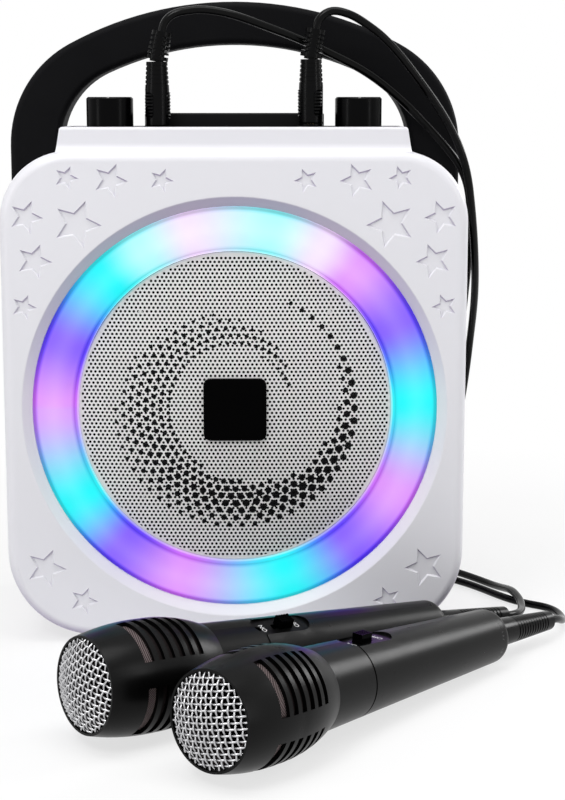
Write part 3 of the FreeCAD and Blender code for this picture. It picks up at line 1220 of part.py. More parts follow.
    middle = SWITCH_AT + slide * SLIDER_TRAVEL / 2
    half = SLIDER_LONG / 2
    slider = box(middle - half, middle + half, -SLIDER_WIDE / 2, SLIDER_WIDE / 2, floor, floor + SLIDER_TALL)
    stem = box(middle - SLIDER_STEM_LONG / 2, middle + SLIDER_STEM_LONG / 2, -SLIDER_STEM_WIDE / 2,
               SLIDER_STEM_WIDE / 2, floor - TUBE_SKIN, floor)
    crown = floor + SLIDER_TALL
    step = SLIDER_LONG / SLIDER_RIBS
    notches = []
    for i in range(SLIDER_RIBS - 1):
        at = middle - half + (i + 1) * step
        notches.append(box(at - SLIDER_RIB, at + SLIDER_RIB, -SLIDER_WIDE, SLIDER_WIDE,
                           crown - SLIDER_RIB, crown + OVERCUT))
    step = SLIDER_WIDE / SLIDER_ROWS
    for i in range(SLIDER_ROWS - 1):
        at = (i + 1) * step - SLIDER_WIDE / 2
        notches.append(box(middle - SLIDER_LONG, middle + SLIDER_LONG, at - SLIDER_RIB, at + SLIDER_RIB,
                           crown - SLIDER_RIB, crown + OVERCUT))
    slider = joined([slider, stem]).cut(joined(notches))

    neck = upright_turned([(0, 0), (BOOT_NECK_R, 0), (BOOT_NECK_R, BOOT_NECK / 2), (BOOT_CORE_R, BOOT_NECK),
                           (0, BOOT_NECK)], 0, 0)
    boot = segmented(BOOT_LONG - BOOT_NECK / 2, BOOT_BASE_R, BOOT_TIP_R, BOOT_GROOVE, BOOT_COLLAR, BOOT_RINGS,
                     BOOT_SLIT, BOOT_TIP)
    boot.rotate(Vector(0, 0, 0), ACROSS, boot_turn)
    boot.translate(Vector(0, 0, BOOT_NECK / 2))
    boot = joined([neck, boot])
    boot.rotate(Vector(0, 0, 0), BACKWARDS, QUARTER_TURN)
    boot.translate(Vector(TUBE_END, 0, 0))
    return {"head_cage": cage, "head_mesh": mesh, "foam": foam, "capsule": capsule, "handle": tube,
            "switch": slider, "cord_boot": boot}


def mic_placement(middle, heading, roll, lift):
    """Axis from the head towards the tail, head up by the slope; roll turns the switch to the viewer."""
    slope = math.radians(MIC_SLOPE)
    way = math.radians(heading)
    axis = Vector(math.sin(way) * math.cos(slope), math.cos(way) * math.cos(slope), -math.sin(slope))
    beside = axis.cross(UP).normalize()
    above = beside.cross(axis)
    lean = math.radians(roll)
    top = above * math.cos(lean) + beside * math.sin(lean)
    turn = Rotation(axis, top.cross(axis), top, "XZY")
    start = Vector(middle[0], middle[1], lift) - axis * MESH_RISE
    return Placement(start, turn)


def place_mic(name, middle, heading, roll, turns):
    pieces = mic_pieces(*turns)
    trial = mic_placement(middle, heading, roll, 0)
    lowest = 0
    for key in ("head_cage", "handle"):
        shape = pieces[key].copy()
        shape.Placement = trial.multiply(shape.Placement)
        lowest = min(lowest, shape.optimalBoundingBox().ZMin)
    seat = mic_placement(middle, heading, roll, -lowest)
    for key, shape in pieces.items():
        shape.Placement = seat.multiply(shape.Placement)
        keep(name + "_" + key, shape)
    turn = math.radians(turns[0])
    along = Vector(math.cos(turn), -math.sin(turn), 0)
    tip = Vector(TUBE_END + BOOT_NECK / 2, 0, 0) + along * (BOOT_LONG - BOOT_NECK / 2)
    tip, way = seat.multVec(tip), seat.Rotation.multVec(along)
    for label, vector in (("start", seat.Base), ("axis", seat.Rotation.multVec(ACROSS)),
                          ("top", seat.Rotation.multVec(UP)), ("boot tip", tip), ("boot way", way)):
        print(name, label, [round(v, 5) for v in vector])
    return tip, way


# Cords

def tube_along(edges, start, direction):
    path = Part.Wire(edges)
    ring = Part.Wire([Part.Circle(start, direction, CORD_R).toShape()])
    tube = path.makePipeShell([ring], True, False)
    ideal = math.pi * CORD_R ** 2 * path.Length
    return tube, path.Length, tube.Volume / ideal


def cord_run(name, points):
    """Free stretch: straight runs between the points, with tangent arcs at the corners."""
    points = [Vector(*p) for p in points]
    edges = []
    radii = []
    here = points[0]
    for before, corner, after in zip(points, points[1:], points[2:]):
        to_before = before - corner
        to_after = after - corner
        leg = CORD_ARC_SHARE * min(to_before.Length, to_after.Length)
        to_before.normalize()
        to_after.normalize()
        turn = math.pi - to_before.getAngle(to_after)
        radius = leg / math.tan(turn / 2)
        radii.append(radius)
        inward = (to_before + to_after).normalize()
        middle = corner + inward * (radius / math.cos(turn / 2) - radius)
        first = corner + to_before * leg
        last = corner + to_after * leg
        edges.append(Part.makeLine(here, first))
        edges.append(Part.Arc(first, middle, last).toShape())
        here = last
    edges.append(Part.makeLine(here, points[-1]))
    tube, length, share = tube_along(edges, points[0], points[1] - points[0])
    longest = max((b - a).Length for a, b in zip(points, points[1:]))
    print(name, "length %.1f, tightest radius %.1f, longest run %.1f, volume share %.4f"
          % (length, min(radii), longest, share))
    keep(name, tube)
    return length


def coil_ends(x, y, reach):
    """Start and end of a coil's straight leads; the cord comes in and goes out on the front side."""
    lead = 2 * CORD_R
    return Vector(x + reach, y - lead, COIL_LIFT), Vector(x - reach, y - lead, COIL_LIFT + COIL_PITCH)


def least_gap(path, apart):
    """Least clear gap between stretches of a wound tube that are a few diameters apart along it."""
    points = path.discretize(COIL_SAMPLES)
    step = path.Length / (COIL_SAMPLES - 1)
    skip = int(apart / step)
    pairs = [(i, j) for i in range(COIL_SAMPLES) for j in range(i + skip, COIL_SAMPLES)]
    gaps = [points[i].distanceToPoint(points[j]) for i, j in pairs]
    return min(gaps) - 2 * CORD_R


def cord_coil(name, x, y, reach):
    """Put-away cord: half turns that spiral in, climb one layer, and spiral out on top."""
    start, end = coil_ends(x, y, reach)
    here = Vector(x + reach, y, COIL_LIFT)
    edges = [Part.makeLine(start, here)]
    halves = 2 * COIL_TURNS
    inner = reach - COIL_TURNS * COIL_PITCH
    radii = [reach - i * COIL_PITCH / 2 for i in range(halves)]
    radii = radii + [inner] + radii[::-1]
    side = 1
    for i, radius in enumerate(radii):
        rise = COIL_PITCH if i == halves else 0
        there = here + Vector(-2 * side * radius, 0, rise)
        via = (here + there) * 0.5 + Vector(0, side * (here - there).Length / 2, 0)
        edges.append(Part.Arc(here, via, there).toShape())
        here = there
        side = -side
    edges.append(Part.makeLine(here, end))
    tube, length, share = tube_along(edges, start, BACKWARDS)
    gap = least_gap(Part.Wire(edges), math.pi * inner)
    print(name, "length %.1f, inner radius %.1f, volume share %.4f, least gap to itself %.2f"
          % (length, inner, share, gap))
    keep(name, tube)
    return length


def coil_tie(x, y, reach):
    near = y + reach - COIL_TURNS * COIL_PITCH - CORD_R - TIE_EASE
    far = y + reach + CORD_R + TIE_EASE
    low = COIL_LIFT - CORD_R
    high = COIL_LIFT + COIL_PITCH + CORD_R
    half = TIE_WIDE / 2
    outer = box(x - half, x + half, near - TIE_SKIN, far + TIE_SKIN, low - TIE_SKIN, high + TIE_SKIN)
    outer = outer.makeFillet(TIE_SKIN, [e for e in outer.Edges if e.BoundBox.XLength > half])
    return outer.cut(box(x - TIE_WIDE, x + TIE_WIDE, near, far, low, high))


def upper_start(x, tilt, out):
    """Tip of a plug's relief and the direction in which the cord leaves it."""
    lean = math.radians(tilt)
    way = Vector(math.sin(lean), 0, math.cos(lean))
    return Vector(x, FRONT + PLUG_DEPTH, PLUG_TOP + RELIEF_SLIT + out) + way * RELIEF_LONG, way


keep("front_panel", front_panel())
for node, piece in zip(("led_diffuser", "led_board", "ring_carrier"), light_ring()):
    keep(node, piece)
for node, piece in zip(("speaker_grille", "badge_plate"), grille_and_badge()):
    keep(node, piece)
*speaker_pieces, speaker_fixings = speaker()
speaker_nodes = ("speaker_basket", "speaker_surround", "speaker_cone", "dust_cap", "speaker_magnet")
for node, piece in zip(speaker_nodes, speaker_pieces):
    keep(node, piece)
keep("carry_handle", carry_handle())
keep("rear_shell", rear_shell())
*rear_pieces, case_fixings = rear_fittings()
rear_nodes = ("rear_socket_plate", "power_switch", "bass_port", "main_board", "battery_pack", "rubber_foot")
for node, piece in zip(rear_nodes, rear_pieces):
    keep(node, piece)
keep("screws", Part.makeCompound(speaker_fixings + case_fixings))
keep("control_deck", control_deck())
keep("console_board", console_board())
for node, place_x in zip(BUTTON_NAMES, button_places()):
    keep(node, button(place_x))
for node, side in (("volume", -1), ("echo", 1)):
    for part_name, piece in zip(("knob", "shaft", "pot"), knob_and_pot(side * KNOB_X)):
        keep(node + "_" + part_name, piece)
plug_ends = []
plug_settings = ((1, -1, RELIEF_TILT_1, GRIP_TURN_1, 0), (2, 1, RELIEF_TILT_2, GRIP_TURN_2, PLUG_2_OUT))
for number, side, lean_angle, pad_angle, drawn_out in plug_settings:
    keep("jack_socket_%d" % number, jack(side * PLUG_X))
    plug_body, plug_pin = plug(side * PLUG_X, lean_angle, pad_angle, drawn_out)
    keep("plug_%d" % number, plug_body)
    keep("plug_pin_%d" % number, plug_pin)
    plug_ends.append(upper_start(side * PLUG_X, lean_angle, drawn_out))
mic_ends = [
    place_mic("mic_1", (MIC_1_X, MIC_1_Y), MIC_1_HEADING, MIC_1_ROLL, (MIC_1_BOOT, MIC_1_HEAD, -1)),
    place_mic("mic_2", (MIC_2_X, MIC_2_Y), MIC_2_HEADING, MIC_2_ROLL, (MIC_2_BOOT, MIC_2_HEAD, 1)),
]
cords = ((CORD_1_UPPER, CORD_1_COIL, CORD_1_LOWER), (CORD_2_UPPER, CORD_2_COIL, CORD_2_LOWER))
ties = []
for number, ((above, coil, below), plug_end, mic_end) in enumerate(zip(cords, plug_ends, mic_ends), 1):
    coil_in, coil_out = coil_ends(*coil)
    top, up_way = plug_end
    tip, tip_way = mic_end
    lead = BACKWARDS * COIL_LEAD
    total = cord_run("cord_%d_upper" % number, [top, top + up_way * PLUG_LEAD, *above, coil_in - lead,
                                                coil_in])
    total += cord_coil("cord_%d_coil" % number, *coil)
    total += cord_run("cord_%d_lower" % number, [coil_out, coil_out - lead, *below,
                                                 tip + tip_way * BOOT_LEAD, tip])
    ties.append(coil_tie(*coil))
    print("cord %d length %.0f" % (number, total))
keep("cord_ties", Part.makeCompound(ties))
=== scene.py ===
"""Looks of the karaoke machine: camera, cords, finishes and the detail that the solids leave out."""
import json
import math

import bpy
from mathutils import Matrix, Vector


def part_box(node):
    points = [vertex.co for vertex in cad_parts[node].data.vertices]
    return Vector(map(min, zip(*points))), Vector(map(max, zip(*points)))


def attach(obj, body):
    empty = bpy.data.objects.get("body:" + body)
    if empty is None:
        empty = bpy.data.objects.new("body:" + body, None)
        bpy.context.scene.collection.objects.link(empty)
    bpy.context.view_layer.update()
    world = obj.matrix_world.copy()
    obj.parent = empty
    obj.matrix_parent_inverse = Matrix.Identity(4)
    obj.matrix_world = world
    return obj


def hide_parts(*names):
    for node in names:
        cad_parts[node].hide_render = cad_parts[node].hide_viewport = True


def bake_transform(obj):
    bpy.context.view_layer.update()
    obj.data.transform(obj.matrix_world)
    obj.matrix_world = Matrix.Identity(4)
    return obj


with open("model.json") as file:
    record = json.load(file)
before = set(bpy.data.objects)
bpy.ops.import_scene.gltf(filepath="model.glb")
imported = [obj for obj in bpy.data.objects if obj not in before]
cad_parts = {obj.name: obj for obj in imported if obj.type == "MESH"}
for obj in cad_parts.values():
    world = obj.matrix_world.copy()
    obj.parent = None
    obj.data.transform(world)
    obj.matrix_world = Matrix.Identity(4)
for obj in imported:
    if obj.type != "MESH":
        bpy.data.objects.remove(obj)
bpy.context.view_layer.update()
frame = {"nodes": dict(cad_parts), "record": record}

SCENE = bpy.context.scene
NODES = frame["nodes"]
MM = 0.001
ROOT = "cabinet"

# Camera of the photograph
EYE = (0.0120, -0.9019, 0.2668)
LENS = 79.2
SENSOR = 36.0
LOOK_DOWN = 9.737
LOOK_RIGHT = 0.756

# Light: share of the world that falls on the object, and lamps as name, place, aim, size and power
AMBIENT = 0.19
LAMPS = (
    ("key", (-0.50, -1.05, 1.25), (0.0, 0.0, 0.15), (0.45, 0.45), 8.5),
    ("strip", (-1.15, -0.75, 0.45), (0.0, 0.0, 0.15), (0.12, 0.8), 2.5),
    ("fill", (1.10, -0.80, 0.55), (0.0, 0.0, 0.10), (0.14, 0.9), 2.6),
    ("top", (0.0, -0.30, 1.35), (0.0, -0.05, 0.10), (1.2, 0.7), 10.0),
    ("rim", (1.10, 0.45, 0.64), (0.08, -0.12, 0.05), (0.4, 0.45), 6.0),
)

# Cords: the same points as the solids, in millimetres
CORD_R = 2.0
PLUG_LEAD = 1.4
BOOT_LEAD = 7.8
COIL_LEAD = 8.0
COIL_PITCH = 4.5
COIL_TURNS = 3
COIL_LIFT = 3.0
COIL_STEPS = 8
CORD_1_COIL = (-5.0, 108.0, 25.6)
CORD_2_COIL = (68.0, 118.0, 29.6)
CORD_1_UPPER = (
    (-33.44, -37.0, 302.22), (-31.74, -37.0, 304.51), (-29.43, -37.0, 306.25), (-26.35, -37.0, 307.44),
    (-21.99, -36.9, 308.05), (-17.2, -36.4, 308.7), (-10.6, -35.6, 308.3), (-3.0, -34.2, 307.0),
    (5.4, -32.0, 304.6), (15.6, -29.2, 301.0), (30.0, -26.2, 295.9),
    (48.0, -24.4, 288.0), (66.0, -23.2, 279.0), (83.0, -22.5, 265.6), (97.5, -22.3, 250.6),
    (107.5, -22.5, 239.6), (114.3, -20.5, 229.5), (118.3, -12.0, 217.0), (120.2, 1.0, 200.0),
    (120.9, 14.0, 182.0), (121.0, 27.0, 163.5), (120.6, 39.5, 144.0), (119.8, 51.0, 123.5),
    (118.2, 60.0, 102.0), (115.2, 66.8, 80.5), (110.2, 71.0, 60.0), (103.0, 73.6, 42.0),
    (93.5, 75.0, 27.5), (82.0, 75.8, 16.0), (69.0, 76.2, 8.5), (55.5, 76.3, 4.3),
    (43.0, 76.8, 2.6), (32.0, 79.6, 2.5), (24.2, 86.4, 2.6),
)
CORD_2_UPPER = (
    (40.58, -37.0, 303.30), (42.08, -37.0, 305.42), (44.14, -37.0, 307.01),
    (46.57, -37.0, 307.94), (49.26, -37.0, 308.12), (52.61, -37.0, 307.51),
    (58.2, -36.1, 305.6), (65.8, -35.0, 300.7), (72.2, -34.0, 296.0), (81.4, -32.4, 286.6),
    (93.3, -30.4, 271.4), (101.2, -29.4, 260.6), (107.6, -29.0, 249.6), (112.0, -28.4, 239.6),
    (115.6, -25.5, 227.8), (118.6, -17.0, 212.0), (121.6, -5.0, 195.0), (124.0, 8.0, 178.5),
    (125.6, 21.0, 165.0), (126.4, 33.5, 152.5), (126.6, 45.0, 139.5), (126.3, 54.0, 124.0),
    (125.0, 62.0, 105.0), (122.8, 69.5, 85.0), (120.0, 76.0, 65.5), (116.5, 82.5, 46.0),
    (112.4, 87.3, 29.0), (107.8, 91.2, 16.0), (103.0, 94.8, 8.0), (99.4, 99.4, 4.2),
)
CORD_1_LOWER = (
    (-29.8, 86.5, 6.0), (-26.8, 77.5, 3.6), (-20.0, 70.3, 2.3), (-10.0, 66.6, 2.05), (4.0, 65.3, 2.05),
    (22.0, 65.8, 2.05), (42.0, 66.8, 2.05), (62.0, 67.2, 2.05), (79.0, 66.6, 2.05), (93.5, 64.8, 2.05),
    (106.3, 60.0, 2.05), (116.6, 51.2, 2.05), (125.6, 41.0, 2.05), (133.0, 29.6, 2.05),
    (139.6, 17.8, 2.05), (146.3, 7.2, 2.05), (154.2, -0.6, 2.05), (162.0, -6.0, 2.05),
    (166.3, -12.6, 2.05), (168.0, -21.5, 2.05), (167.6, -31.0, 2.6), (165.4, -40.6, 5.2),
)
CORD_2_LOWER = (
    (39.4, 98.0, 6.2), (43.4, 90.2, 4.2), (50.8, 84.6, 2.7), (61.0, 82.0, 2.1), (73.0, 81.7, 2.05),
    (86.0, 82.2, 2.05), (98.5, 81.0, 2.05), (109.7, 77.0, 2.05), (118.6, 69.2, 2.05),
    (125.6, 60.6, 2.05), (131.6, 51.4, 2.05), (137.0, 42.4, 2.05), (141.2, 33.0, 2.6),
    (144.0, 23.0, 4.2), (145.9, 14.0, 6.0), (147.2, 5.5, 7.1), (148.4, -4.5, 7.0), (148.6, -14.5, 6.4),
    (147.3, -24.5, 6.3), (144.9, -34.0, 7.4),
)
PLUG_TIPS = (((-34.624, -37.0, 298.252), (0.19081, 0.0, 0.98163)),
             ((39.544, -37.0, 299.495), (0.17365, 0.0, 0.98481)))
BOOT_TIPS = (((155.073, -57.551, 10.146), (0.69294, 0.71744, -0.07149)),
             ((134.614, -48.201, 9.752), (0.79593, 0.60010, -0.07988)))
# Each cord: run from plug to coil, coil, run on to the microphone, tips of boot and plug, length in metres
CORDS = (
    (CORD_1_UPPER, CORD_1_COIL, CORD_1_LOWER, BOOT_TIPS[0], PLUG_TIPS[0], 1.621),
    (CORD_2_UPPER, CORD_2_COIL, CORD_2_LOWER, BOOT_TIPS[1], PLUG_TIPS[1], 1.601),
)

# Reach of the shade in the creases of the white plastic, in millimetres
CREASE = 1.5

# Light ring: outer radius, radius of the inner edge, and where each colour is brightest, in degrees
FRONT_Y = -59.0
RING_Z = 117.0
RING_R = 98.5
RING_BORE = 76.9
CYAN_AT = (-150, -73, 2, 133)
VIOLET_AT = (-130, -50, 28, 158)
PINK_AT = (-108, -27, 50, 178)
ICE_AT = (78, 120)
BLUSH_AT = (62, 104)
CYAN = (0.0, 0.88, 0.91)
VIOLET = (0.25, 0.12, 0.94)
PINK = (0.72, 0.31, 0.92)
ICE = (0.44, 0.92, 0.94)
BLUSH = (0.88, 0.76, 0.94)
SEAM_CYAN = 0.07
# Across the ring, from inner edge (0) to outer edge (1): brightness, whose thin dips near both edges are
# painted shade; share of white, which at the inner edge is a painted highlight; share of deeper colour
RING_LEVEL = ((0.0, 1.0), (0.05, 1.0), (0.07, 0.8), (0.1, 0.96), (0.5, 1.0), (0.92, 0.97), (0.95, 0.72),
              (0.975, 0.62), (1.0, 0.78))
RING_WHITE = ((0.0, 0.3), (0.03, 0.0), (0.2, 0.0), (0.55, 0.035), (0.9, 0.0))
RING_DEEP = ((0.0, 0.6), (0.06, 1.0), (0.16, 0.15), (0.5, 0.0), (0.86, 0.1), (0.95, 1.0))

# Grille, in millimetres
GRILLE_R = 76.6
GRILLE_RIM_DEEP = 7.0
GRILLE_RISE = 4.0
GRILLE_SKIN = 0.9
HOLE_PITCH = 2.125
HOLE_R = 0.66
MID_R = 0.86
HOLE_FIELD_R = 75.2
CELL_SIDES = 12
WELDS_PER_MM = 50
FIELD_EDGE_R = GRILLE_R - 0.5
RIM_IN_R = 75.3
RIM_STEPS = 192
# Rolled rim: radius and distance behind the dome
RIM = ((RIM_IN_R, 0.25), (RIM_IN_R, -0.12), (RIM_IN_R + 0.5, -0.22), (GRILLE_R - 0.4, -0.16), (GRILLE_R, 0.1),
       (GRILLE_R, 1.4))

# Printed halftone band that winds once round the badge: sweep in degrees, inner and outer radius, dot radius
DOT_START = 25.0
DOT_BAND = (
    (0, 28.0, 30.0, 1.05), (30, 28.5, 36.5, 1.05), (65, 30.0, 46.0, 1.08), (110, 30.0, 53.0, 1.15),
    (155, 30.0, 59.0, 1.35), (200, 31.5, 60.0, 1.55), (245, 34.5, 58.6, 1.85), (290, 43.5, 59.0, 2.10),
    (335, 50.0, 60.0, 1.90), (365, 55.5, 60.0, 1.55), (401, 57.0, 60.0, 1.25),
)
DOT_ROWS = 9
DOT_FIRST_R = 29.0
DOT_ROW_STEP = 3.68
DOTS_PER_TURN = 58
DOT_CELL = 6
# The largest dots lie half way across the band, and from a given sweep on they move towards its outer side
PEAK_ACROSS = 0.5
PEAK_SHIFT = 0.35
PEAK_SHIFT_FROM = 245
DOT_FADE = 0.36
DOT_FADE_REACH = 0.5
DOT_FADE_POWER = 1.5

# Knobs: body and place, and the painted groove in the top
KNOBS = (("volume", -60.2), ("echo", 60.2))
KNOB_Y = -37.0
KNOB_MARK_SPAN = (5.75, 10.4)
KNOB_MARK_HALF = 0.55
KNOB_MARK_Z = (266.82, 267.15)
KNOB_MARK_HOLLOW = 0.1

# Roll of the speaker's surround, and the foot of the second plug
ROLL_MID_R = 52.0
ROLL_R = 4.0
ROLL_LAND = 2.0
ROLL_SKIN = 0.8
ROLL_DEEP = 19.7
ROLL_SECTORS = 12
ROLL_STEPS = 12
SECTOR_STEPS = 8
COLLAR_X = 37.2
COLLAR_Y = -37.0
COLLAR_Z = (253.45, 254.55)
COLLAR_IN = 3.35
COLLAR_R = 5.8

# Microphones: front of the mesh, axis to the tail, direction of the switch, turn of the weave
MESH_EDGE_R = 19.55
MESH_BALL = 41.704
MICS = (
    ("mic_1", (-11.2065, -250.6214, 27.6877), (0.6413, 0.76427, -0.06802),
     (0.08375, 0.01839, 0.99632), 14.0),
    ("mic_2", (-64.6822, -207.0325, 27.6877), (0.77644, 0.62651, -0.06802),
     (0.26452, -0.22604, 0.93752), 9.0),
)
WIRE_PITCH = 2.45
WIRE_R = 0.5
WIRE_WAVE = 0.36
WIRE_CLEAR = 0.05
WIRE_SIDES = 6
WIRE_STEPS = 6
LINING = ((8.0, 18.0), (18.8, 21.4), (27.0, 22.25), (35.0, 22.4), (44.0, 22.0), (52.0, 20.8), (59.0, 19.0),
          (65.0, 16.8))
LINING_SKIN = 1.9
LINING_STEPS = 96
WEAVE_END = 27.0
TAIL_AT = 198.0
TAIL_R = 13.2
TAIL_TAPER = 0.0387
TAIL_ROUND_AT = 202.4
TAIL_END = 206.0
TAIL_END_R = 9.5
TAIL_SLACK = 0.01
BUTTON_SHARE = 0.8
SWITCH_AT = 104.5
SWITCH_FLOOR = 15.0
WORD_OFFSET = 9.2
WORD_LIFT = 0.03
WORD_TALL = 2.3
WORD_HALF_THICK = 0.01
CAPITAL_SHARE = 0.7

# Floor, in metres: half its side, its place just under the object, and where it fades to white
FLOOR_HALF = 8.0
FLOOR_Z = -0.0002
FLOOR_NEAR = 0.22
FLOOR_FAR = 0.48
FLOOR_LIFT = 0.70


def add_camera():
    """Camera at the photograph's place."""
    data = bpy.data.cameras.new("camera")
    data.sensor_width = SENSOR
    data.lens = LENS
    data.clip_end = 50
    camera = bpy.data.objects.new("camera", data)
    camera.location = EYE
    camera.rotation_euler = (math.radians(90 - LOOK_DOWN), 0, -math.radians(LOOK_RIGHT))
    SCENE.collection.objects.link(camera)
    SCENE.camera = camera


def coil_points(x, y, reach):
    """Points of a put-away coil from lead to lead, widened so that the curve keeps its radius."""
    # The curve takes 3/4 of each point and 1/8 of both its neighbours
    ease = 0.75 + 0.25 * math.cos(math.pi / COIL_STEPS)
    points = [Vector((x + reach, y - 2 * CORD_R, COIL_LIFT)), Vector((x + reach, y, COIL_LIFT))]
    halves = 2 * COIL_TURNS
    radii = [reach - i * COIL_PITCH / 2 for i in range(halves)]
    radii = radii + [reach - COIL_TURNS * COIL_PITCH] + radii[::-1]
    here = points[-1].copy()
    side = 1
    for i, radius in enumerate(radii):
        rise = COIL_PITCH if i == halves else 0.0
        middle = here + Vector((-side * radius, 0, 0))
        for step in range(COIL_STEPS):
            turn = math.pi * (step + 0.5) / COIL_STEPS
            lift = rise * (step + 0.5) / COIL_STEPS
            points.append(middle + Vector((side * math.cos(turn), side * math.sin(turn), 0)) * (radius / ease)
                          + Vector((0, 0, lift)))
        here = here + Vector((-2 * side * radius, 0, rise))
        side = -side
    points.append(here)
    points.append(here - Vector((0, 2 * CORD_R, 0)))
    return points


def add_cord(number, upper, coil, lower, boot, plug, length):
    """One cord from microphone to plug; its points carry its radius, which keeps the curve's box true."""
    tip, tip_way = (Vector(v) for v in boot)
    top, top_way = (Vector(v) for v in plug)
    wound = coil_points(*coil)
    lead = Vector((0, COIL_LEAD, 0))
    route = [tip, tip + tip_way * BOOT_LEAD]
    route += [Vector(p) for p in reversed(lower)]
    route += [wound[-1] - lead]
    route += wound[::-1]
    route += [wound[0] - lead]
    route += [Vector(p) for p in reversed(upper)]
    route += [top + top_way * PLUG_LEAD, top]
    curve = bpy.data.curves.new("cord_%d" % number, "CURVE")
    curve.dimensions = "3D"
    curve.bevel_depth = 1.0
    curve.bevel_resolution = 4
    curve.use_fill_caps = True
    spline = curve.splines.new("NURBS")
    spline.points.add(len(route) - 1)
    for point, place in zip(spline.points, route):
        point.co = (*(place * MM), 1.0)
        point.radius = CORD_R * MM
    spline.order_u = 3
    spline.use_endpoint_u = True
    spline.resolution_u = 5
    cord = bpy.data.objects.new("cord_%d" % number, curve)
    SCENE.collection.objects.link(cord)
    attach(cord, ROOT)
    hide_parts(*("cord_%d_%s" % (number, part) for part in ("upper", "coil", "lower")))
    return cord


class Finish:
    """A material with a Principled shader and a few shorthands for its nodes."""

    def __init__(self, name):
        self.material = bpy.data.materials.new(name)
        self.material.use_nodes = True
        self.tree = self.material.node_tree
        self.shader = self.tree.nodes["Principled BSDF"]
        self.place = self.node("ShaderNodeTexCoord").outputs["Object"]

    def node(self, kind, inputs=None, **settings):
        made = self.tree.nodes.new(kind)
        for name, value in settings.items():
            setattr(made, name, value)
        for name, value in (inputs or {}).items():
            self.feed(made.inputs[name], value)
        return made

    def feed(self, socket, value):
        if isinstance(value, bpy.types.NodeSocket):
            self.tree.links.new(value, socket)
        else:
            socket.default_value = value

    def set(self, **values):
        for name, value in values.items():
            self.feed(self.shader.inputs[name.replace("_", " ")], value)

    def noise(self, scale, detail=3.0, rough=0.5):
        inputs = {"Vector": self.place, "Scale": scale, "Detail": detail, "Roughness": rough}
        return self.node("ShaderNodeTexNoise", inputs).outputs["Fac"]

    def span(self, value, low, high, from_low=0.3, from_high=0.7):
        inputs = {"Value": value, "From Min": from_low, "From Max": from_high, "To Min": low, "To Max": high}
        return self.node("ShaderNodeMapRange", inputs).outputs["Result"]

    def mix(self, factor, first, second):
        made = self.node("ShaderNodeMix", data_type="RGBA")
        self.feed(made.inputs[0], factor)
        self.feed(made.inputs[6], first)
        self.feed(made.inputs[7], second)
        return made.outputs[2]

    def calc(self, operation, first, second=0.0, third=0.0):
        return self.node("ShaderNodeMath", {0: first, 1: second, 2: third}, operation=operation).outputs[0]

    def ramp(self, value, stops, interpolation="LINEAR"):
        made = self.node("ShaderNodeValToRGB", {"Fac": value})
        ramp = made.color_ramp
        ramp.interpolation = interpolation
        while len(ramp.elements) < len(stops):
            ramp.elements.new(0.5)
        for element, (at, colour) in zip(ramp.elements, stops):
            element.position = at
            element.color = (*colour, 1.0)
        return made.outputs["Color"]

    def bump(self, height, strength, distance):
        inputs = {"Height": height, "Strength": strength, "Distance": distance}
        return self.node("ShaderNodeBump", inputs).outputs["Normal"]


def tint(colour, share=1.0):
    """Colour with alpha, made lighter or darker by a share."""
    return (*(min(1.0, c * share) for c in colour), 1.0)


def moulded(name, colour, rough, spread=0.05, cloud=30.0, grain=1400.0, depth=0.00002, strength=0.25,
            metal=0.0, specular=0.5, rough_spread=0.05, painted_shade=None):
    """Moulded or painted surface: clouded colour, uneven gloss, fine grain; an optional colour gives painted
    shade on what faces down and in creases.
    """
    made = Finish(name)
    clouds = made.noise(cloud, 4.0, 0.6)
    fine = made.noise(grain, 2.0, 0.6)
    base = made.mix(clouds, tint(colour, 1 - spread), tint(colour, 1 + spread))
    if painted_shade:
        # Painted shade: the base colour turns to the shade colour on faces that point down and in creases
        # that ambient occlusion finds
        normal = made.node("ShaderNodeNewGeometry").outputs["Normal"]
        down = made.node("ShaderNodeSeparateXYZ", {0: normal}).outputs["Z"]
        near = made.node("ShaderNodeAmbientOcclusion", {"Distance": CREASE * MM}, samples=8).outputs["AO"]
        shade = made.calc("MULTIPLY", made.span(down, 0.0, 1.0, -0.7, -0.05),
                          made.span(near, 0.7, 1.0, 0.3, 0.9))
        base = made.mix(shade, tint(painted_shade), base)
    gloss = made.span(made.noise(cloud * 3, 5.0, 0.65), rough - rough_spread, rough + rough_spread)
    made.set(Base_Color=base, Roughness=gloss, Normal=made.bump(fine, strength, depth), Metallic=metal,
             Specular_IOR_Level=specular)
    return made


def greys(table):
    """Stops of a ramp from places and grey values."""
    return [(at, (value,) * 3) for at, value in table]


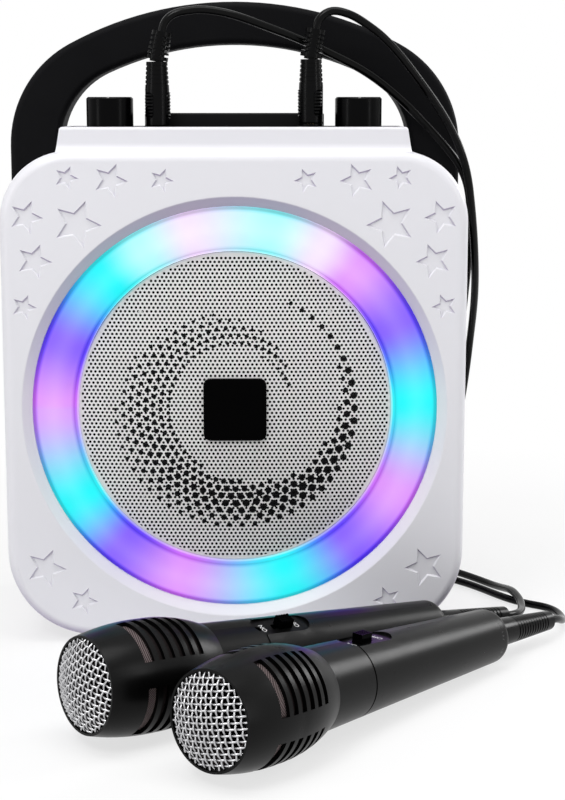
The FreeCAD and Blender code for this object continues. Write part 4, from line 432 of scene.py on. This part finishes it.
def glow_finish():
    """Milky ring lit from behind: runs of colour round the ring, paler along its middle, with a painted
    highlight along its inner edge and painted shade in thin lines near both edges.
    """
    made = Finish("glowing_ring")
    split = made.node("ShaderNodeSeparateXYZ", {0: made.place})
    up = made.calc("SUBTRACT", split.outputs["Z"], RING_Z * MM)
    angle = made.calc("ARCTAN2", up, split.outputs["X"])
    turn = made.calc("MULTIPLY_ADD", angle, 1 / (2 * math.pi), 0.5)
    runs = ((CYAN_AT, CYAN), (VIOLET_AT, VIOLET), (PINK_AT, PINK), (ICE_AT, ICE), (BLUSH_AT, BLUSH))
    stops = [(at / 360 + 0.5, colour) for places, colour in runs for at in places]
    seam = tuple((1 - SEAM_CYAN) * pink + SEAM_CYAN * cyan for pink, cyan in zip(PINK, CYAN))
    run = made.ramp(turn, sorted(stops + [(0.0, seam), (1.0, seam)]), "EASE")
    squares = made.calc("ADD", made.calc("POWER", up, 2.0), made.calc("POWER", split.outputs["X"], 2.0))
    share = made.span(made.calc("SQRT", squares), 0.0, 1.0, RING_BORE * MM, RING_R * MM)
    # Painted light across the ring: the thin darker lines near both edges are painted shade, and the white at
    # the inner edge is a painted highlight
    level = made.ramp(share, greys(RING_LEVEL))
    white = made.ramp(share, greys(RING_WHITE), "EASE")
    edges = made.ramp(share, greys(RING_DEEP), "EASE")
    deep = made.node("ShaderNodeVectorMath", {0: run, 1: run}, operation="MULTIPLY").outputs["Vector"]
    cloud = made.span(made.noise(45.0, 3.0), 0.95, 1.04)
    colour = made.mix(white, made.mix(edges, run, deep), (1.0, 1.0, 1.0, 1.0))
    made.set(Base_Color=made.mix(0.9, run, (0.02, 0.02, 0.025, 1.0)), Emission_Color=colour,
             Emission_Strength=made.calc("MULTIPLY", level, cloud),
             Roughness=made.span(cloud, 0.26, 0.34, 0.9, 1.1), Specular_IOR_Level=0.2)
    return made


def woven_finish():
    """Bright drawn wire, unevenly tarnished."""
    made = Finish("mic_mesh")
    fine = made.noise(900.0, 3.0)
    tarnish = made.mix(made.noise(120.0, 4.0), (0.36, 0.36, 0.37, 1), (0.62, 0.62, 0.63, 1))
    made.set(Base_Color=tarnish, Metallic=1.0, Roughness=made.span(fine, 0.18, 0.34),
             Normal=made.bump(fine, 0.2, 0.00002))
    return made


def lining_finish():
    """Dark cloth inside a microphone's head; its threads show only near the front slot."""
    made = Finish("mic_foam")
    spot = made.node("ShaderNodeTexCoord").outputs["UV"]
    threads = []
    for slant in (48.0, -48.0):
        turned = made.node("ShaderNodeVectorRotate", {"Vector": spot, "Angle": math.radians(slant)},
                           rotation_type="Z_AXIS").outputs[0]
        inputs = {"Vector": turned, "Scale": 0.42, "Distortion": 0.4, "Detail": 1.0}
        threads.append(made.node("ShaderNodeTexWave", inputs, wave_profile="SIN").outputs["Fac"])
    along = made.node("ShaderNodeSeparateXYZ", {0: spot}).outputs["Y"]
    near = made.span(along, 1.0, 0.0, WEAVE_END - 1.0, WEAVE_END)
    crossed = made.calc("MAXIMUM", threads[0], made.calc("MULTIPLY", threads[1], 0.7))
    net = made.calc("MULTIPLY", made.span(crossed, 0.0, 1.0, 0.55, 0.9), near)
    made.set(Base_Color=made.mix(net, (0.006, 0.0035, 0.0035, 1.0), (0.30, 0.235, 0.235, 1.0)),
             Roughness=made.span(made.noise(900.0), 0.55, 0.8), Normal=made.bump(net, 0.6, 0.0002),
             Specular_IOR_Level=0.15)
    return made


# Moulded and painted looks; each colour is linear
LOOKS = {
    # White plastic: its grey-purple shade colour is painted shade on down-facing faces and in creases, tinted
    # like the light ring's glow in the recess
    "white_plastic": dict(colour=(0.765, 0.76, 0.80), rough=0.34, spread=0.012, cloud=14.0, grain=1800.0,
                          depth=0.00001, strength=0.10, specular=0.4, painted_shade=(0.42, 0.375, 0.50)),
    "handle_plastic": dict(colour=(0.0030, 0.0030, 0.0036), rough=0.62, spread=0.2, cloud=25.0, grain=1500.0,
                           strength=0.3, specular=0.06),
    "circuit_board": dict(colour=(0.03, 0.16, 0.07), rough=0.35, spread=0.2, cloud=120.0),
    "black_plastic": dict(colour=(0.0035, 0.0035, 0.004), rough=0.45, spread=0.2, specular=0.1),
    "grille_metal": dict(colour=(0.73, 0.722, 0.715), rough=0.36, spread=0.03, cloud=60.0, grain=1200.0,
                         depth=0.00001, strength=0.15, metal=0.1, specular=0.4),
    "gloss_black": dict(colour=(0.0006, 0.0006, 0.0007), rough=0.2, spread=0.2, cloud=40.0, grain=300.0,
                        depth=0.00001, strength=0.05, specular=0.015),
    "black_steel": dict(colour=(0.006, 0.006, 0.007), rough=0.42, spread=0.2, cloud=50.0, specular=0.15),
    "black_rubber": dict(colour=(0.004, 0.004, 0.004), rough=0.75, spread=0.2, cloud=60.0, grain=900.0,
                         depth=0.00005, strength=0.5, specular=0.1),
    "cone_paper": dict(colour=(0.006, 0.006, 0.0065), rough=0.85, spread=0.3, cloud=200.0, grain=500.0,
                       depth=0.0001, strength=0.6, specular=0.1),
    "bare_steel": dict(colour=(0.55, 0.56, 0.58), rough=0.30, spread=0.08, cloud=80.0, grain=700.0,
                       metal=1.0),
    "battery_wrap": dict(colour=(0.03, 0.08, 0.28), rough=0.30, spread=0.1, grain=200.0,
                         depth=0.0002, strength=0.3),
    "button_grey": dict(colour=(0.18, 0.18, 0.19), rough=0.62, spread=0.08, cloud=70.0, grain=1200.0,
                        depth=0.00003, strength=0.4),
    "knob_black": dict(colour=(0.0006, 0.0006, 0.0008), rough=0.24, spread=0.2, cloud=50.0, grain=1600.0,
                       strength=0.2, specular=0.05),
    "plug_brass": dict(colour=(0.80, 0.62, 0.30), rough=0.25, spread=0.08, cloud=90.0, metal=1.0),
    "plug_black": dict(colour=(0.0006, 0.0006, 0.0008), rough=0.26, spread=0.2, cloud=90.0, grain=1500.0,
                       strength=0.3, specular=0.08),
    "mic_black": dict(colour=(0.0010, 0.0010, 0.0010), rough=0.29, spread=0.15, cloud=40.0, grain=2200.0,
                      depth=0.00001, strength=0.08, specular=0.12, rough_spread=0.02),
    "cord_black": dict(colour=(0.0006, 0.0006, 0.0007), rough=0.2, spread=0.2, cloud=80.0, grain=1500.0,
                       strength=0.3, specular=0.11),
    "ink": dict(colour=(0.004, 0.004, 0.0045), rough=0.5, spread=0.2, specular=0.1),
    "lettering": dict(colour=(0.80, 0.80, 0.80), rough=0.5, cloud=200.0),
}
FINISHES = {name: moulded(name, **look) for name, look in LOOKS.items()}
FINISHES["glowing_ring"] = glow_finish()
FINISHES["mic_mesh"] = woven_finish()
FINISHES["mic_foam"] = lining_finish()


def coat_nodes():
    """Finish of its slot on every node of the solids."""
    for entry in frame["record"]["subparts"]:
        node = NODES[entry["node"]]
        node.data.materials.clear()
        node.data.materials.append(FINISHES[entry["material_slot"]].material)


def add_mesh(name, points, faces, slot, body=ROOT, replaced=(), smooth=True, extra=(), marks=None):
    """Piece from points in millimetres; extra finishes follow the first, marks gives each face its own."""
    mesh = bpy.data.meshes.new(name)
    mesh.from_pydata([tuple(c * MM for c in p) for p in points], [], faces)
    mesh.materials.append(FINISHES[slot].material)
    for other in extra:
        mesh.materials.append(other.material)
    if marks:
        mesh.polygons.foreach_set("material_index", marks)
    mesh.polygons.foreach_set("use_smooth", [smooth] * len(mesh.polygons))
    mesh.update()
    piece = bpy.data.objects.new(name, mesh)
    SCENE.collection.objects.link(piece)
    if body:
        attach(piece, body)
    if replaced:
        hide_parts(*replaced)
    return piece


def between(table, at):
    """Row of a table at a place between its first values."""
    for low, high in zip(table, table[1:]):
        if at <= high[0]:
            share = (at - low[0]) / (high[0] - low[0])
            return [a + (b - a) * share for a, b in zip(low[1:], high[1:])]
    return table[-1][1:]


def dot_list():
    """Halftone dots on rings round the badge, staggered from ring to ring, where the band covers them."""
    dots = []
    last = DOT_BAND[-1][0]
    for row in range(DOT_ROWS):
        radius = DOT_FIRST_R + row * DOT_ROW_STEP
        for i in range(int(DOTS_PER_TURN * last / 360) + 1):
            sweep = 360 * (i + 0.5 * (row % 2)) / DOTS_PER_TURN
            inner, outer, size = between(DOT_BAND, sweep)
            if inner <= radius <= outer:
                across = (radius - inner) / (outer - inner)
                late = max(0.0, sweep - PEAK_SHIFT_FROM) / (last - PEAK_SHIFT_FROM)
                off = abs(across - PEAK_ACROSS - PEAK_SHIFT * late)
                fade = 1 - DOT_FADE * min(1.0, off / DOT_FADE_REACH) ** DOT_FADE_POWER
                turn = math.radians(DOT_START + sweep)
                dots.append((radius * math.cos(turn), radius * math.sin(turn), size * fade))
    return dots


def dome_y(radius):
    """Front of the grille's dome at a radius."""
    ball = (GRILLE_R ** 2 + GRILLE_RISE ** 2) / (2 * GRILLE_RISE)
    return FRONT_Y + GRILLE_RIM_DEEP - GRILLE_RISE + ball - math.sqrt(ball ** 2 - radius ** 2)


class Print:
    """Halftone print, sorted into square cells so that a place is tested against the near dots only."""

    def __init__(self):
        self.cells = {}
        for x, z, size in dot_list():
            self.cells.setdefault((round(x / DOT_CELL), round(z / DOT_CELL)), []).append((x, z, size))

    def covers(self, x, z):
        column, line = round(x / DOT_CELL), round(z / DOT_CELL)
        cells = ((column + i, line + j) for i in (-1, 0, 1) for j in (-1, 0, 1))
        near = (dot for cell in cells for dot in self.cells.get(cell, ()))
        return any((dx - x) ** 2 + (dz - z) ** 2 < size ** 2 for dx, dz, size in near)


class Grille:
    """Perforated dome: points, faces, and a mark for each face, 0 for paint and 1 for ink; the ink also gives
    painted shade on the walls of the holes.
    """

    def __init__(self):
        self.points, self.faces, self.marks = [], [], []
        self.shared = {}
        self.print = Print()

    def point(self, x, z, back=0.0):
        self.points.append((x, dome_y(math.hypot(x, z)) + back, RING_Z + z))
        return len(self.points) - 1

    def corner(self, x, z):
        """Point on the border of a cell, which its neighbours share."""
        key = (round(x * WELDS_PER_MM), round(z * WELDS_PER_MM))
        if key not in self.shared:
            self.shared[key] = self.point(x, z)
        return self.shared[key]

    def face(self, corners, mark):
        self.faces.append(tuple(corners))
        self.marks.append(mark)

    def circle(self, x, z, radius, back=0.0):
        turns = [2 * math.pi * i / CELL_SIDES for i in range(CELL_SIDES)]
        return [self.point(x + radius * math.cos(turn), z + radius * math.sin(turn), back) for turn in turns]

    def border(self, x, z):
        """Six edge middles and six corners of a cell, pulled in where they pass the edge of the field."""
        half = HOLE_PITCH / 2
        reach = half / math.cos(math.pi / 6)
        ring = []
        for i in range(CELL_SIDES):
            turn = 2 * math.pi * i / CELL_SIDES
            far = reach if i % 2 else half
            px, pz = x + far * math.cos(turn), z + far * math.sin(turn)
            pull = min(1.0, FIELD_EDGE_R / math.hypot(px, pz))
            ring.append(self.corner(px * pull, pz * pull))
        return ring

    def add_blind_cell(self, x, z):
        ring = self.border(x, z)
        face = [p for k, p in enumerate(ring) if p != ring[k - 1]]
        if len(set(face)) > 2:
            self.face(face, 0)

    def add_hole(self, x, z):
        ring = self.border(x, z)
        middle = self.circle(x, z, MID_R)
        front = self.circle(x, z, HOLE_R)
        back = self.circle(x, z, HOLE_R, GRILLE_SKIN)
        bands = ((ring, middle, (MID_R + HOLE_PITCH / 2) / 2), (middle, front, (HOLE_R + MID_R) / 2))
        for i in range(CELL_SIDES):
            j = (i + 1) % CELL_SIDES
            turn = 2 * math.pi * (i + 0.5) / CELL_SIDES
            for one, two, mid in bands:
                inked = self.print.covers(x + mid * math.cos(turn), z + mid * math.sin(turn))
                self.face((one[i], one[j], two[j], two[i]), int(inked))
            # The walls of each hole take the ink finish: painted shade inside the hole, not print
            self.face((front[i], front[j], back[j], back[i]), 1)

    def add_field(self):
        rise = HOLE_PITCH * math.sqrt(3) / 2
        count = int(GRILLE_R / rise) + 2
        for line in range(-count, count + 1):
            for column in range(-count - 2, count + 3):
                x, z = (column + 0.5 * (line % 2)) * HOLE_PITCH, line * rise
                out = math.hypot(x, z)
                if out <= HOLE_FIELD_R:
                    self.add_hole(x, z)
                elif out <= FIELD_EDGE_R:
                    self.add_blind_cell(x, z)

    def add_rim(self):
        base, size = len(self.points), len(RIM)
        for i in range(RIM_STEPS):
            turn = 2 * math.pi * i / RIM_STEPS
            for radius, back in RIM:
                place = radius * math.cos(turn), dome_y(radius) + back, RING_Z + radius * math.sin(turn)
                self.points.append(place)
        for i in range(RIM_STEPS):
            here, there = base + i * size, base + (i + 1) % RIM_STEPS * size
            for j in range(size - 1):
                self.face((here + j, here + j + 1, there + j + 1, there + j), 0)


def add_grille():
    """Perforated, printed dome with its rolled rim."""
    grille = Grille()
    grille.add_field()
    grille.add_rim()
    add_mesh("grille", grille.points, grille.faces, "grille_metal", replaced=["speaker_grille"], smooth=False,
             extra=[FINISHES["ink"]], marks=grille.marks)


def add_tube(points, faces, path, radius, sides, up):
    """Round wire along a path; up is any direction off the path."""
    base = len(points)
    count = len(path)
    for i, here in enumerate(path):
        ahead = (path[min(i + 1, count - 1)] - path[max(i - 1, 0)]).normalized()
        across = ahead.cross(up).normalized()
        over = across.cross(ahead)
        for j in range(sides):
            turn = 2 * math.pi * j / sides
            points.append(here + (across * math.cos(turn) + over * math.sin(turn)) * radius)
    for i in range(count - 1):
        for j in range(sides):
            k = (j + 1) % sides
            faces.append((base + i * sides + j, base + i * sides + k, base + (i + 1) * sides + k,
                          base + (i + 1) * sides + j))
    faces.append(tuple(base + j for j in reversed(range(sides))))
    faces.append(tuple(base + (count - 1) * sides + j for j in range(sides)))


def add_mic_mesh(name, start, axis, top, weave_turn):
    """Woven wire dome of a microphone's head."""
    beside = axis.cross(top).normalized()
    centre = start + axis * MESH_BALL
    points, faces = [], []
    count = int(MESH_EDGE_R / WIRE_PITCH)
    turn = math.radians(weave_turn)
    first = beside * math.cos(turn) + top * math.sin(turn)
    second = top * math.cos(turn) - beside * math.sin(turn)
    for one, other, flip in ((first, second, 1), (second, first, -1)):
        for line in range(-count, count + 1):
            off = line * WIRE_PITCH
            half = math.sqrt(max(0.0, MESH_EDGE_R ** 2 - off ** 2))
            steps = max(4, int(2 * half / WIRE_PITCH * WIRE_STEPS))
            path = []
            for i in range(steps + 1):
                at = -half + 2 * half * i / steps
                wave = math.cos(math.pi * at / WIRE_PITCH) * (1 if line % 2 == 0 else -1) * flip
                ball = MESH_BALL - WIRE_R - WIRE_CLEAR - WIRE_WAVE + WIRE_WAVE * wave
                deep = math.sqrt(ball ** 2 - off ** 2 - at ** 2)
                path.append(centre - axis * deep + one * at + other * off)
            add_tube(points, faces, path, WIRE_R, WIRE_SIDES, axis)
    add_mesh(name + "_weave", points, faces, "mic_mesh", replaced=[name + "_head_mesh"])


def add_lining(name, start, axis, top):
    """Foam and cloth lining of a microphone's head, a closed turned shell; UVs unroll the cloth."""
    beside = axis.cross(top).normalized()
    profile = list(LINING) + [(at, radius - LINING_SKIN) for at, radius in reversed(LINING)]

    def place(radius, at, turn):
        return start + axis * at + (beside * math.cos(turn) + top * math.sin(turn)) * radius
    piece = add_turned(name + "_lining", [(radius, at) for at, radius in profile], place, "mic_foam",
                       steps=LINING_STEPS, replaced=[name + "_foam"])
    count = len(profile)
    widest = max(radius for at, radius in LINING)
    layer = piece.data.uv_layers.new(name="cloth")
    for face in piece.data.polygons:
        for loop in face.loop_indices:
            around, step = divmod(piece.data.loops[loop].vertex_index, count)
            if around == 0 and face.index >= (LINING_STEPS - 1) * count:
                around = LINING_STEPS
            layer.data[loop].uv = (2 * math.pi * around / LINING_STEPS * widest, profile[step][0])


def add_word(name, word, place, right, up):
    """Flat printed word on a microphone's switch plate."""
    curve = bpy.data.curves.new(name, "FONT")
    curve.body = word
    curve.size = WORD_TALL / CAPITAL_SHARE * MM
    curve.align_x = "CENTER"
    curve.align_y = "CENTER"
    curve.extrude = WORD_HALF_THICK * MM
    text = bpy.data.objects.new(name + "_text", curve)
    mesh = bpy.data.meshes.new_from_object(text)
    bpy.data.objects.remove(text)
    basis = Matrix((right, up, right.cross(up))).transposed().to_4x4()
    basis.translation = place * MM
    mesh.transform(basis)
    mesh.materials.clear()
    mesh.materials.append(FINISHES["lettering"].material)
    piece = bpy.data.objects.new(name, mesh)
    SCENE.collection.objects.link(piece)
    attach(piece, ROOT)


def reshape(node, name, body, start, axis, top, change):
    """Piece that stands for a node: its mesh, with each point moved in the microphone's own directions."""
    beside = axis.cross(top)
    mesh = NODES[node].data.copy()
    mesh.name = name
    for vertex in mesh.vertices:
        off = vertex.co / MM - start
        along, side, high = change(off.dot(axis), off.dot(beside), off.dot(top))
        vertex.co = (start + axis * along + beside * side + top * high) * MM
    mesh.update()
    piece = bpy.data.objects.new(name, mesh)
    SCENE.collection.objects.link(piece)
    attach(piece, body)
    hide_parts(node)


def trim_tail(along, side, high):
    """Straight tail with a short round end."""
    out = math.hypot(side, high)
    if along <= TAIL_AT or out < TAIL_END_R + TAIL_SLACK:
        return along, side, high
    share = max(0.0, (along - TAIL_ROUND_AT) / (TAIL_END - TAIL_ROUND_AT))
    straight = TAIL_R - TAIL_TAPER * (along - TAIL_AT)
    limit = TAIL_END_R + (straight - TAIL_END_R) * math.sqrt(max(0.0, 1 - share ** 2))
    return along, side * limit / out, high * limit / out


def add_mic(name, start, axis, top, weave_turn):
    """Weave, lining, words, handle tube and switch button of one microphone."""
    start, axis, top = Vector(start), Vector(axis).normalized(), Vector(top)
    top = (top - axis * top.dot(axis)).normalized()
    add_mic_mesh(name, start, axis, top, weave_turn)
    add_lining(name, start, axis, top)
    right = top.cross(axis)
    for word, side in (("ON", -1), ("OFF", 1)):
        place = start + axis * (SWITCH_AT + side * WORD_OFFSET) + top * (SWITCH_FLOOR + WORD_LIFT)
        add_word("%s_word_%s" % (name, word.lower()), word, place, right, -axis)
    reshape(name + "_handle", name + "_tube", ROOT, start, axis, top, trim_tail)
    low, high = (Vector(c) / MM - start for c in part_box(name + "_switch"))
    middle = ((low + high) / 2).dot(axis)

    def narrow(along, side, high):
        return middle + (along - middle) * BUTTON_SHARE, side * BUTTON_SHARE, high
    reshape(name + "_switch", name + "_button", name + "_slider", start, axis, top, narrow)


def add_turned(name, profile, place, slot, first=0.0, span=360.0, steps=48, **more):
    """Closed turned piece: profile of radii and distances along the axis, set out at each turn by place."""
    whole = span >= 360.0
    count = steps if whole else steps + 1
    points = [place(radius, along, math.radians(first + span * i / steps)) for i in range(count)
              for radius, along in profile]
    size = len(profile)
    faces = []
    for i in range(steps):
        here, there = i * size, (i + 1) % count * size
        faces += [(here + j, here + (j + 1) % size, there + (j + 1) % size, there + j) for j in range(size)]
    if not whole:
        faces += [tuple(range(size)), tuple(range((count - 1) * size + size - 1, (count - 1) * size - 1, -1))]
    return add_mesh(name, points, faces, slot, **more)


def add_surround():
    """Soft roll between basket and cone, in sectors."""
    def arc(radius, deep, steps):
        turns = [math.pi * i / ROLL_STEPS for i in steps]
        return [(ROLL_MID_R + radius * math.cos(turn), deep - radius * math.sin(turn)) for turn in turns]

    def place(radius, deep, turn):
        return radius * math.cos(turn), FRONT_Y + deep, RING_Z + radius * math.sin(turn)
    front, back = ROLL_DEEP - ROLL_SKIN, ROLL_DEEP
    reach = ROLL_R + ROLL_LAND
    profile = [(ROLL_MID_R + reach, back), (ROLL_MID_R + reach, front)]
    profile += arc(ROLL_R, front, range(ROLL_STEPS + 1))
    profile += [(ROLL_MID_R - reach, front), (ROLL_MID_R - reach, back)]
    profile += arc(ROLL_R - ROLL_SKIN, back, range(ROLL_STEPS, -1, -1))
    span = 360.0 / ROLL_SECTORS
    for i in range(ROLL_SECTORS):
        piece = add_turned("surround_%02d" % (i + 1), profile, place, "black_rubber", span * i, span,
                           SECTOR_STEPS, body=None, replaced=["speaker_surround"])
        middle = math.radians(span * (i + 0.5))
        outer, inner = ([c * MM for c in place(ROLL_MID_R + side * ROLL_R, back, middle)] for side in (1, -1))
        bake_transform(piece)
        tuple(outer)
        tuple(inner)


def add_collar():
    """Foot of the second plug, which stands a little way out of its socket."""
    def place(radius, high, turn):
        return COLLAR_X + radius * math.cos(turn), COLLAR_Y + radius * math.sin(turn), high
    low, high = COLLAR_Z
    profile = [(COLLAR_IN, low), (COLLAR_R, low), (COLLAR_R, high), (COLLAR_IN, high)]
    add_turned("plug_2_collar", profile, place, "plug_black", smooth=False)


def add_knob_mark(knob, x):
    """Pale paint in the groove of a knob's top, with a slightly hollow face."""
    low, high = KNOB_MARK_Z
    section = [(-KNOB_MARK_HALF, low), (KNOB_MARK_HALF, low), (KNOB_MARK_HALF, high),
               (0.0, high - KNOB_MARK_HOLLOW), (-KNOB_MARK_HALF, high)]
    points = [(x + across, KNOB_Y - out, up) for out in KNOB_MARK_SPAN for across, up in section]
    count = len(section)
    faces = [(i, (i + 1) % count, count + (i + 1) % count, count + i) for i in range(count)]
    faces += [tuple(reversed(range(count))), tuple(range(count, 2 * count))]
    add_mesh(knob + "_mark", points, faces, "grille_metal", body=knob, smooth=False)


def add_stage():
    """Pale floor that keeps the object's shadow and fades to the white of the background."""
    mesh = bpy.data.meshes.new("floor")
    corners = [(x * FLOOR_HALF, y * FLOOR_HALF, FLOOR_Z) for x, y in ((-1, -1), (1, -1), (1, 1), (-1, 1))]
    mesh.from_pydata(corners, [], [(0, 1, 2, 3)])
    floor = bpy.data.objects.new("floor", mesh)
    SCENE.collection.objects.link(floor)
    made = Finish("floor")
    made.set(Base_Color=(0.92, 0.92, 0.92, 1.0), Roughness=0.6, Specular_IOR_Level=0.1)
    far = made.node("ShaderNodeVectorMath", {0: made.place}, operation="LENGTH").outputs["Value"]
    lift = made.span(far, FLOOR_LIFT, 1.0, FLOOR_NEAR, FLOOR_FAR)
    paths = made.node("ShaderNodeLightPath").outputs
    mirrored = made.calc("MAXIMUM", paths["Is Camera Ray"], paths["Is Glossy Ray"])
    seen = made.calc("MAXIMUM", mirrored, paths["Is Transmission Ray"])
    white = made.node("ShaderNodeEmission", {"Color": (1, 1, 1, 1), "Strength": 1.0}).outputs[0]
    blend = made.node("ShaderNodeMixShader", {0: made.calc("MULTIPLY", lift, seen), 1: made.shader.outputs[0],
                                              2: white})
    made.feed(made.tree.nodes["Material Output"].inputs["Surface"], blend.outputs[0])
    mesh.materials.append(made.material)


def add_lights():
    """White surroundings that light the object only in part, and the lamps."""
    world = bpy.data.worlds.new("studio")
    SCENE.world = world
    world.use_nodes = True
    tree = world.node_tree
    back = tree.nodes["Background"]
    back.inputs["Color"].default_value = (1, 1, 1, 1)
    paths = tree.nodes.new("ShaderNodeLightPath")
    seen = paths.outputs["Is Camera Ray"]
    for other in ("Is Glossy Ray", "Is Transmission Ray"):
        either = tree.nodes.new("ShaderNodeMath")
        either.operation = "MAXIMUM"
        tree.links.new(seen, either.inputs[0])
        tree.links.new(paths.outputs[other], either.inputs[1])
        seen = either.outputs[0]
    level = tree.nodes.new("ShaderNodeMapRange")
    level.inputs["To Min"].default_value = AMBIENT
    level.inputs["To Max"].default_value = 1.0
    tree.links.new(seen, level.inputs["Value"])
    tree.links.new(level.outputs["Result"], back.inputs["Strength"])
    for name, place, aim, size, power in LAMPS:
        lamp = bpy.data.lights.new(name, "AREA")
        lamp.shape = "RECTANGLE"
        lamp.size, lamp.size_y = size
        lamp.energy = power
        light = bpy.data.objects.new(name, lamp)
        light.location = place
        light.rotation_euler = (Vector(aim) - Vector(place)).to_track_quat("-Z", "Y").to_euler()
        SCENE.collection.objects.link(light)


add_camera()
for cord in [add_cord(number, *run) for number, run in enumerate(CORDS, 1)]:
    cord.data.materials.append(FINISHES["cord_black"].material)
coat_nodes()
add_grille()
add_surround()
add_collar()
for knob, x in KNOBS:
    add_knob_mark(knob, x)
for mic in MICS:
    add_mic(*mic)
add_stage()
add_lights()
SCENE.view_settings.view_transform = "Standard"
